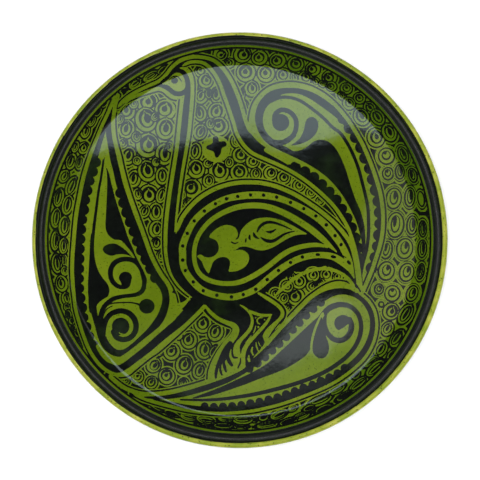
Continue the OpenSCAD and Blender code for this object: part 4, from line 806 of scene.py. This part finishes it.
def surface_z(x, y):
    """Height of the painted surface."""
    return profile_z(np.hypot(x, y)) + unevenness(x, y)


def slope_normals(x, y):
    """Directions square to the painted surface."""
    h = 0.05
    gx = (surface_z(x + h, y) - surface_z(x - h, y)) / (2 * h)
    gy = (surface_z(x, y + h) - surface_z(x, y - h)) / (2 * h)
    n = np.column_stack([-gx, -gy, np.ones(len(x))])
    return n / np.linalg.norm(n, axis=1)[:, None]


def slip_pieces(material):
    """Cuts the painted field into one closed raised layer per piece."""
    n = SIDE * SIDE
    ids = np.arange(n).reshape(SIDE, SIDE)
    corners = np.stack([ids[:-1, :-1], ids[:-1, 1:], ids[1:, 1:], ids[1:, :-1]], axis=-1)
    edges = np.stack([n + ids[:-1, :-1], 2 * n + ids[:-1, 1:],
                      n + ids[1:, :-1], 2 * n + ids[:-1, :-1]], axis=-1)
    flat = field.ravel()
    value = flat[corners]
    inside = value < 0
    kept = inside.any(axis=-1)
    whose = owner.ravel()[np.take_along_axis(corners, value.argmin(axis=-1)[..., None], -1)[..., 0]]
    full = inside.all(axis=-1)
    blocks = []
    left = full.copy()
    crease = np.abs(np.hypot(GX, GY) - WELL_R)[:-1, :-1] < CREASE_W
    for size in (4, 2, 1):
        m = (SIDE - 1) // size
        tiles = left.reshape(m, size, m, size).all(axis=(1, 3))
        names = whose.reshape(m, size, m, size)
        tiles &= (names.max(axis=(1, 3)) == names.min(axis=(1, 3)))
        if size > 1:
            tiles &= ~crease.reshape(m, size, m, size).any(axis=(1, 3))
        bi, bj = np.nonzero(tiles)
        blocks.append((size, bi * size, bj * size))
        left &= ~np.repeat(np.repeat(tiles, size, 0), size, 1)
    used = np.zeros(n, bool)
    for size, bi, bj in blocks:
        for di, dj in ((0, 0), (0, size), (size, size), (size, 0)):
            used[ids[bi + di, bj + dj]] = True
    part = kept & ~full
    pc, pe, pin, pw = corners[part], edges[part], inside[part], whose[part]
    used[pc[pin]] = True
    tokens, masks, owners = [], [], []
    for size, bi, bj in blocks:
        steps = range(size)
        ring = [(0, k) for k in steps] + [(k, size) for k in steps] + [(size, size - k) for k in steps] \
            + [(size - k, 0) for k in steps]
        t = np.stack([ids[bi + di, bj + dj] for di, dj in ring], axis=-1)
        tokens.append(t)
        masks.append(used[t])
        owners.append(whose[bi, bj])
    saddle = (pin.sum(-1) == 2) & (pin[:, 0] == pin[:, 2]) & (flat[pc].mean(-1) > 0)
    cross = pin != np.roll(pin, -1, axis=-1)
    both = np.stack([pc, pe], axis=-1).reshape(len(pc), 8)
    mask = np.stack([pin, cross], axis=-1).reshape(len(pc), 8)
    tokens.append(both[~saddle])
    masks.append(mask[~saddle])
    owners.append(pw[~saddle])
    for k in range(4):
        rows = saddle & pin[:, k]
        tokens.append(np.stack([pe[rows, k - 1], pc[rows, k], pe[rows, k]], axis=-1))
        masks.append(np.ones((rows.sum(), 3), bool))
        owners.append(pw[rows])
    for index, name in enumerate(PIECES):
        loops = np.concatenate([t[o == index][m[o == index]] for t, m, o in zip(tokens, masks, owners)])
        totals = np.concatenate([m[o == index].sum(-1) for m, o in zip(masks, owners)])
        if len(totals):
            slip_piece(name, loops, totals, flat, n, material)


def slip_piece(name, loops, totals, flat, n, material):
    """One closed layer of slip: top faces from the field, their copy underneath, and walls between."""
    starts = np.concatenate([[0], np.cumsum(totals)])
    follow = np.arange(len(loops)) + 1
    follow[starts[1:] - 1] = starts[:-1]
    kinds, top = np.unique(loops, return_inverse=True)
    grid = kinds % n
    i, j = grid // SIDE, grid % SIDE
    x, y = AXIS[j].copy(), AXIS[i].copy()
    f = flat[grid].copy()
    for shift, k, axis in ((1, 1, x), (SIDE, 2, y)):
        on = kinds // n == k
        a, b = flat[grid[on]], flat[grid[on] + shift]
        axis[on] += STEP * np.clip(a / (a - b), 0.03, 0.97)
        f[on] = 0
    lower = DEPTH_SHIFT * np.clip((SHIFT_END - np.hypot(x, y)) / SHIFT_FADE, 0, 1)
    x, y = x + lower * (x - EYE_X), y + lower * (y - EYE_Y)
    depth = np.clip(-f / SWELL_W, 0, 1)
    base = surface_z(x, y)
    high = np.column_stack([x, y, base + SLIP_LIFT + SLIP_DOME * depth * (2 - depth)])
    low = np.column_stack([x, y, base + SLIP_ROOT])
    size = len(kinds)
    a, b = top, top[follow]
    lone = ~np.isin(a.astype(np.int64) * size + b, b.astype(np.int64) * size + a)
    a, b = a[lone], b[lone]
    walls = np.stack([b, a, a + size, b + size], axis=-1)
    out = np.column_stack([high[b, 1] - high[a, 1], high[a, 0] - high[b, 0], np.zeros(len(a))])
    out /= np.maximum(np.linalg.norm(out, axis=1), 1e-9)[:, None]
    order = np.arange(len(loops))
    poly = np.repeat(np.arange(len(totals)), totals)
    under = starts[poly] + starts[poly + 1] - 1 - order
    all_loops = np.concatenate([top, top[under] + size, walls.ravel()])
    all_totals = np.concatenate([totals, totals, np.full(len(walls), 4)])
    # a face belongs to the well or to the wall, so that no shading runs over the crease between them
    r = np.maximum(np.hypot(x, y)[top], 1e-6)
    centre = (np.add.reduceat(r, starts[:-1]) / totals)[poly]
    near = np.where(centre < WELL_R, np.minimum(r, WELL_R - WELL_SIDE), np.maximum(r, WELL_R + WALL_SIDE)) / r
    up = slope_normals(x[top] * near, y[top] * near)
    normals = np.concatenate([up, -up[under], np.repeat(out, 4, axis=0)])
    points = np.concatenate([high, low])
    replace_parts(new_piece(name, points, all_loops, all_totals, material, normals), name)


def arc(c, r, a, b, steps):
    """Points of a circle's arc between two angles."""
    t = np.linspace(a, b, steps)
    return np.column_stack([c[0] + r * np.cos(t), c[1] + r * np.sin(t)])


def inside_section(lift):
    """The inside surface from the axis to the lip, moved up by a distance."""
    right = math.pi / 2
    r = np.concatenate([np.linspace(0, 125, 51), [126, 126.6, WELL_R]])
    slope = np.arctan(2 * WELL_RISE * r / WELL_R ** 2)
    well = np.column_stack([r - lift * np.sin(slope),
                            FLOOR_Z + WELL_RISE * (r / WELL_R) ** 2 + lift * np.cos(slope)])
    wall = arc(WALL_C, WALL_R - lift, WELL_TILT - right, WALL_TILT - right, 16)[1:]
    upper = arc(UPPER_C, UPPER_R - lift, WALL_TILT - right, 0, 10)[1:]
    lip = arc(LIP_C, LIP_R + lift, math.pi, LIP_START, 10)[1:]
    return np.concatenate([well, wall, upper, lip])


def lathe(name, section, material, wobble=0.0, sharp=35):
    """A closed turned piece. The section is a loop of [radius, height]; radius 0 becomes one point."""
    section = np.asarray(section, float)
    if section.ndim == 3:  # one section for each step of the turn
        section = np.moveaxis(section, 0, 1)
    turn = np.arange(TURN_STEPS) * 2 * math.pi / TURN_STEPS
    points, first = [], []
    for ring in section:
        r, z = ring.T
        first.append(len(points))
        if np.ndim(r) == 0 and r < 1e-6:
            points.append((0, 0, z + wobble * float(unevenness(0, 0))))
        else:
            x, y = r * np.cos(turn), r * np.sin(turn)
            points.extend(zip(x, y, z + wobble * unevenness(x, y)))
    loops, totals = [], []
    k = np.arange(TURN_STEPS)
    k2 = (k + 1) % TURN_STEPS
    count = len(section)
    for s in range(count):
        a, b = first[s], first[(s + 1) % count]
        flat_a, flat_b = (np.max(section[k][..., 0]) < 1e-6 for k in (s, (s + 1) % count))
        if flat_a and flat_b:
            continue
        if flat_a:
            quad = np.stack([np.full(TURN_STEPS, a), b + k, b + k2], axis=-1)
        elif flat_b:
            quad = np.stack([a + k, np.full(TURN_STEPS, b), a + k2], axis=-1)
        else:
            quad = np.stack([a + k, b + k, b + k2, a + k2], axis=-1)
        loops.append(quad.ravel())
        totals.append(np.full(TURN_STEPS, quad.shape[1]))
    return new_piece(name, points, np.concatenate(loops), np.concatenate(totals), material, sharp=sharp)


# ---- materials ----
def shader(name, roughness):
    """A new material, its node tree and its shader."""
    material = bpy.data.materials.new(name)
    material.use_nodes = True
    tree = material.node_tree
    bsdf = tree.nodes["Principled BSDF"]
    bsdf.inputs["Roughness"].default_value = roughness
    bsdf.inputs["IOR"].default_value = 1.5
    return material, tree, bsdf


def node(tree, kind, **values):
    """A new node. Each value is set on the input of that name, or else on the node itself."""
    made = tree.nodes.new(kind)
    for key, value in values.items():
        if key in made.inputs:
            made.inputs[key].default_value = value
        else:
            setattr(made, key, value)
    return made


def noise(tree, scale, detail=3.0, roughness=0.5, squash=None):
    """Noise in object space; scale is in features per metre."""
    place = node(tree, "ShaderNodeTexCoord").outputs["Object"]
    if squash:
        mapping = node(tree, "ShaderNodeMapping", Scale=squash)
        tree.links.new(place, mapping.inputs["Vector"])
        place = mapping.outputs["Vector"]
    made = node(tree, "ShaderNodeTexNoise", Scale=scale, Detail=detail, Roughness=roughness)
    tree.links.new(place, made.inputs["Vector"])
    return made.outputs["Fac"]


def ramp(tree, value, *stops):
    """A colour ramp with stops of (position, colour)."""
    made = tree.nodes.new("ShaderNodeValToRGB")
    elements = made.color_ramp.elements
    while len(elements) < len(stops):
        elements.new(0.5)
    for element, (place, colour) in zip(elements, stops):
        element.position = place
        element.color = (*colour, 1) if len(colour) == 3 else colour
    tree.links.new(value, made.inputs["Fac"])
    return made.outputs["Color"]


def grey(v):
    return (v, v, v)


def spread(tree, value, low, high, out_low=0.0, out_high=1.0):
    """Maps a range of values onto another one."""
    made = node(tree, "ShaderNodeMapRange")
    tree.links.new(value, made.inputs["Value"])
    for key, v in (("From Min", low), ("From Max", high), ("To Min", out_low), ("To Max", out_high)):
        made.inputs[key].default_value = v
    return made.outputs["Result"]


def blend_colours(tree, factor, a, b, kind="MIX"):
    """Mixes two colours; each is a socket or a colour."""
    made = tree.nodes.new("ShaderNodeMix")
    made.data_type = "RGBA"
    made.blend_type = kind
    for key, value in (("Factor", factor), ("A", a), ("B", b)):
        kind_of = "VALUE" if key == "Factor" else "RGBA"
        sockets = [s for s in made.inputs if s.name == key and s.type == kind_of]
        if hasattr(value, "is_output"):
            tree.links.new(value, sockets[0])
        else:
            sockets[0].default_value = value if key == "Factor" else (*value, 1)
    return [s for s in made.outputs if s.type == "RGBA"][0]


def along(tree, axis, coordinate="Object"):
    """One axis of a texture coordinate."""
    parts = tree.nodes.new("ShaderNodeSeparateXYZ")
    tree.links.new(node(tree, "ShaderNodeTexCoord").outputs[coordinate], parts.inputs["Vector"])
    return parts.outputs[axis]


def darken(tree, colour, value, *stops):
    """A colour times a ramp over a value."""
    return blend_colours(tree, 1.0, colour, ramp(tree, value, *stops), "MULTIPLY")


def polish(tree, bsdf, value, low, high):
    """Roughness that follows a value."""
    tree.links.new(spread(tree, value, 0.3, 0.7, low, high), bsdf.inputs["Roughness"])


def radius(tree):
    """Distance from the dish's axis, in metres."""
    place = node(tree, "ShaderNodeTexCoord").outputs["Object"]
    flat = tree.nodes.new("ShaderNodeVectorMath")
    flat.operation = "MULTIPLY"
    flat.inputs[1].default_value = (1, 1, 0)
    tree.links.new(place, flat.inputs[0])
    size = tree.nodes.new("ShaderNodeVectorMath")
    size.operation = "LENGTH"
    tree.links.new(flat.outputs["Vector"], size.inputs[0])
    return size.outputs["Value"]


def bump(tree, bsdf, *layers):
    """Stacks bumps of (height socket, depth in metres)."""
    last = None
    for height, depth in layers:
        made = node(tree, "ShaderNodeBump", Strength=1.0, Distance=depth)
        tree.links.new(height, made.inputs["Height"])
        if last:
            tree.links.new(last, made.inputs["Normal"])
        last = made.outputs["Normal"]
    tree.links.new(last, bsdf.inputs["Normal"])


def green_glaze():
    material, tree, bsdf = shader("green_glaze", 0.13)
    flow = noise(tree, 22, 4)
    grain = noise(tree, 420, 2)
    well = ramp(tree, flow, (0.3, (0.064, 0.099, 0.0026)), (0.5, (0.078, 0.117, 0.0032)),
                (0.7, (0.098, 0.134, 0.0046)))
    wall = ramp(tree, flow, (0.3, (0.027, 0.058, 0.0013)), (0.5, (0.039, 0.076, 0.0017)),
                (0.7, (0.056, 0.096, 0.0022)))
    # the wall is a darker green than the well, partly for its thicker glaze and partly as painted shade;
    # to_right makes it darkest on the right side
    to_right = spread(tree, along(tree, "X"), -0.11, 0.05, 0.35, 1.0)
    on_wall = node(tree, "ShaderNodeMath", operation="MULTIPLY")
    tree.links.new(spread(tree, radius(tree), 0.1262, 0.1285), on_wall.inputs[0])
    tree.links.new(to_right, on_wall.inputs[1])
    colour = blend_colours(tree, on_wall.outputs["Value"], well, wall)
    colour = darken(tree, colour, grain, (0.3, grey(0.86)), (0.7, grey(1.0)))
    specks = noise(tree, 900, 0)
    colour = darken(tree, colour, specks, (0.23, (0.45, 0.5, 0.4)), (0.28, grey(1)))
    tree.links.new(colour, bsdf.inputs["Base Color"])
    polish(tree, bsdf, noise(tree, 60, 3), 0.035, 0.07)
    bump(tree, bsdf, (noise(tree, 260, 2), 0.00001))
    return material


def black_slip():
    material, tree, bsdf = shader("black_slip", 0.13)
    cover = noise(tree, 45, 4)
    streak = noise(tree, 260, 3)
    colour = ramp(tree, cover, (0.34, (0.0042, 0.0078, 0.0026)), (0.46, (0.0024, 0.0034, 0.0023)),
                  (0.7, (0.0019, 0.0022, 0.0021)))
    colour = darken(tree, colour, streak, (0.3, grey(0.75)), (0.7, grey(1.25)))
    tree.links.new(colour, bsdf.inputs["Base Color"])
    polish(tree, bsdf, noise(tree, 80, 3), 0.035, 0.07)
    bump(tree, bsdf, (noise(tree, 300, 2), 0.00001))
    return material


def rim_black():
    material, tree, bsdf = shader("rim_black_slip", 0.13)
    r = radius(tree)
    waver = node(tree, "ShaderNodeMath", operation="MULTIPLY_ADD")
    tree.links.new(noise(tree, 30, 2), waver.inputs[0])
    waver.inputs[1].default_value = 0.0008
    tree.links.new(r, waver.inputs[2])
    lines = spread(tree, waver.outputs["Value"], 0.1394, 0.1484)
    # pale paints a highlight: the paler stripe round the middle of the band is a painted reflection
    dark, green, pale = (0.0030, 0.0042, 0.0031), (0.0085, 0.013, 0.0065), (0.016, 0.018, 0.018)
    colour = ramp(tree, lines, (0.0, dark), (0.27, dark), (0.30, green), (0.33, dark), (0.50, dark),
                  (0.56, pale), (0.63, pale), (0.70, dark), (1.0, dark))
    colour = darken(tree, colour, noise(tree, 200, 3), (0.3, grey(0.7)), (0.7, grey(1.3)))
    tree.links.new(colour, bsdf.inputs["Base Color"])
    polish(tree, bsdf, noise(tree, 80, 3), 0.12, 0.2)
    bump(tree, bsdf, (noise(tree, 300, 2), 0.00001))
    return material


def lip_glaze():
    material, tree, bsdf = shader("lip_glaze", 0.2)
    wear = noise(tree, 120, 4)
    colour = ramp(tree, wear, (0.3, (0.12, 0.165, 0.009)), (0.5, (0.175, 0.205, 0.016)),
                  (0.68, (0.25, 0.26, 0.035)))
    specks = noise(tree, 700, 0)
    colour = darken(tree, colour, specks, (0.24, (0.3, 0.3, 0.2)), (0.3, grey(1)))
    tree.links.new(colour, bsdf.inputs["Base Color"])
    polish(tree, bsdf, noise(tree, 60, 3), 0.14, 0.26)
    bump(tree, bsdf, (noise(tree, 180, 3), 0.00003))
    return material


def outside_green():
    material, tree, bsdf = shader("outside_glaze", 0.15)
    flow = noise(tree, 18, 4, squash=(1, 1, 4))
    colour = ramp(tree, flow, (0.3, (0.055, 0.092, 0.004)), (0.5, (0.085, 0.125, 0.007)),
                  (0.72, (0.14, 0.17, 0.018)))
    colour = darken(tree, colour, noise(tree, 500, 2), (0.3, grey(0.8)), (0.7, grey(1.0)))
    tree.links.new(colour, bsdf.inputs["Base Color"])
    polish(tree, bsdf, noise(tree, 60, 3), 0.12, 0.24)
    bump(tree, bsdf, (noise(tree, 60, 3, squash=(0.4, 0.4, 8)), 0.00012), (noise(tree, 300, 2), 0.00002))
    return material


def bare_clay():
    material, tree, bsdf = shader("bare_clay", 0.8)
    body = noise(tree, 60, 5)
    grit = noise(tree, 1100, 2)
    colour = ramp(tree, body, (0.3, (0.33, 0.17, 0.085)), (0.5, (0.42, 0.235, 0.125)),
                  (0.7, (0.5, 0.31, 0.18)))
    colour = darken(tree, colour, grit, (0.32, grey(0.62)), (0.5, grey(1.0)))
    tree.links.new(colour, bsdf.inputs["Base Color"])
    polish(tree, bsdf, grit, 0.7, 0.9)
    bump(tree, bsdf, (grit, 0.00008), (noise(tree, 90, 3, squash=(0.3, 0.3, 10)), 0.0002))
    return material


slip_black, glaze_green, clay = black_slip(), green_glaze(), bare_clay()
slip_pieces(slip_black)

GLAZE_T = 0.45
WELL_EDGE = 8  # degrees: sharper than this is an edge in the glaze, so the well's edge is one
ground = np.concatenate([inside_section(0), inside_section(-GLAZE_T)[::-1]])
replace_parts(lathe("green_ground", ground, glaze_green, 1.0, WELL_EDGE), "inside_glaze")


BAND_END, BAND_END_MAX, BAND_LIFT, BAND_ROOT = 147.05, 147.7, 0.1, -0.12


def band_section(lift, turn):
    """The black band at one angle of the turn: from the green ring up to its edge on the lip."""
    off = OFF_X * math.cos(turn) + OFF_Y * math.sin(turn)
    right = math.pi / 2
    start = math.asin((BAND_R + off - WALL_C[0]) / WALL_R) - right
    end = math.acos((min(BAND_END + off, BAND_END_MAX) - LIP_C[0]) / LIP_R)
    wall = arc(WALL_C, WALL_R - lift, start, WALL_TILT - right, 8)
    upper = arc(UPPER_C, UPPER_R - lift, WALL_TILT - right, 0, 9)[1:]
    t = np.linspace(0, 1, 9)[1:]
    turn_up, size = math.pi + (end - math.pi) * t, LIP_R + lift * (1 - 0.9 * t)
    lip = np.column_stack([LIP_C[0] + size * np.cos(turn_up), LIP_C[1] + size * np.sin(turn_up)])
    return np.concatenate([wall, upper, lip])


band = []
for turn in np.arange(TURN_STEPS) * 2 * math.pi / TURN_STEPS:
    top, ground = band_section(BAND_LIFT, turn), band_section(0, turn)
    top[0], top[-1] = ground[0], ground[-1]
    band.append(np.concatenate([top, band_section(BAND_ROOT, turn)[::-1]]))
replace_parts(lathe("rim_black_band", np.array(band), rim_black(), 1.0), "rim_band")
lip_skin = np.concatenate([arc(LIP_C, LIP_R, LIP_START, GLAZE_EDGE, 20),
                           arc(LIP_C, LIP_R - GLAZE_T, GLAZE_EDGE, LIP_START, 20)])
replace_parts(lathe("yellow_lip", lip_skin, lip_glaze()), "lip_glaze")
back_out, back_in = (np.concatenate([arc(BACK_C, BACK_R - deep, GLAZE_EDGE, BACK_TILT - math.pi / 2, 40),
                                     [(FOOT_R + 2, FOOT_H + deep)]]) for deep in (0, GLAZE_T))
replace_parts(lathe("outside_skin", np.concatenate([back_out, back_in[::-1]]), outside_green()),
            "outside_glaze")
for name in ("clay_body", "foot_ring"):
    cad = next(o for o in bpy.data.objects if o.get("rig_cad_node") == name)
    for place in cad.material_slots:
        place.material = clay

# ---- studio ----
scene = bpy.context.scene
scene.view_settings.view_transform = "Standard"
CARD_H = 0.6
MIRROR_SCALE, MIRROR_X, MIRROR_Y = 0.952, -21.25, 8.75  # the shallow well as a mirror, at the cards' height


def mirrored(x, y):
    """The place on a card, in metres, that is seen reflected at a place in the dish, in millimetres."""
    return (MIRROR_SCALE * x + MIRROR_X) * MM, (MIRROR_SCALE * y + MIRROR_Y) * MM


def put(name, data):
    """A new object that belongs to the studio and not to the dish."""
    made = bpy.data.objects.new(name, data)
    scene.collection.objects.link(made)
    return made


def emitter(name, outline, strength, tint=(1, 1, 1), fade=None, height=CARD_H):
    """A flat glowing card, seen only in reflections. Its outline is where its reflection lies in the dish."""
    mesh = bpy.data.meshes.new(name)
    mesh.from_pydata([(*mirrored(x, y), height) for x, y in outline], [], [list(range(len(outline)))])
    material = bpy.data.materials.new(name)
    material.use_nodes = True
    tree = material.node_tree
    tree.nodes.clear()
    glow = node(tree, "ShaderNodeEmission", Strength=strength, Color=(*tint, 1))
    if fade:
        low, high = (mirrored(0, y)[1] for y in fade)
        tree.links.new(spread(tree, along(tree, "Y"), low, high, strength, 0.0), glow.inputs["Strength"])
    out = tree.nodes.new("ShaderNodeOutputMaterial")
    tree.links.new(glow.outputs["Emission"], out.inputs["Surface"])
    mesh.materials.append(material)
    card = put(name, mesh)
    card.visible_camera = card.visible_diffuse = card.visible_shadow = False


floor_mesh = bpy.data.meshes.new("floor")
floor_mesh.from_pydata([(-12, -12, 0), (12, -12, 0), (12, 12, 0), (-12, 12, 0)], [], [(0, 1, 2, 3)])
put("floor", floor_mesh)
pale, tree, bsdf = shader("pale_floor", 0.9)
tree.links.new(ramp(tree, noise(tree, 3, 2), (0.3, grey(0.86)), (0.7, grey(0.9))), bsdf.inputs["Base Color"])
floor_mesh.materials.append(pale)

lamp = bpy.data.lights.new("soft_overhead", "AREA")
lamp.shape, lamp.size, lamp.energy = "DISK", 3.0, 150
overhead = bpy.data.objects.new("soft_overhead", lamp)
scene.collection.objects.link(overhead)
overhead.location = (0, 0, 2.4)
overhead.visible_glossy = False

world = bpy.data.worlds.new("studio")
scene.world = world
world.use_nodes = True
tree = world.node_tree
sky = ramp(tree, along(tree, "Z", "Generated"), (0.0, grey(1.0)), (0.06, grey(1.0)), (0.115, grey(0.08)),
           (0.3, grey(0.012)), (1.0, grey(0.012)))
tree.links.new(sky, tree.nodes["Background"].inputs["Color"])
tree.nodes["Background"].inputs["Strength"].default_value = 2.0

emitter("veil_card", [(-110, 60), (-100, 64), (-88, 68), (-72, 67), (-60, 68), (-48, 71), (-36, 72),
    (-28, 76), (-10, 77), (0, 79), (12, 79), (20, 74), (35, 69), (45, 67), (55, 72), (66, 76), (75, 78),
    (85, 80), (104, 74), (112, 74), (112, 140), (-112, 140)], 3.1, (0.81, 1.0, 1.07))
emitter("lower_card", [(-15, -104.5), (0, -97.5), (24, -89.5), (30, -90), (35, -93.5), (45, -87.5),
    (50, -84), (56, -84.5), (60, -86), (64, -83), (66, -76), (72, -75), (80, -71), (84, -64), (84, -44),
    (70, -40), (45, -50), (25, -75), (10, -92), (-5, -100)], 2.0, (0.9, 1, 1))
emitter("side_card", [(84, -95), (84, -30), (93, 20), (93, 75), (130, 75), (130, -95)], 0.7, height=0.61)
emitter("far_card", [(-97, -73), (-92, -79), (-88, -84), (-84, -88), (-80, -92), (-65, -102.7),
    (-57, -107), (-48, -112), (-40, -115), (-20, -120), (0, -121), (20, -120), (40, -115), (60, -106),
    (84, -88), (84, -50), (60, -44), (-101, -44)], 0.5, (0.9, 1, 1.02), (-100, -50), 0.62)

camera = bpy.data.cameras.new("camera")
camera.sensor_width = 36
camera.lens = 247.1
camera.clip_end = 50
eye = bpy.data.objects.new("camera", camera)
scene.collection.objects.link(eye)
eye.location = EYE
aim = (Vector((0.0005, 0, 0.029)) - EYE).normalized()
right = aim.cross(Vector((0, 1, 0))).normalized()
eye.rotation_mode = "QUATERNION"
eye.rotation_quaternion = Matrix((right, right.cross(aim), -aim)).transposed().to_quaternion()
scene.camera = eye
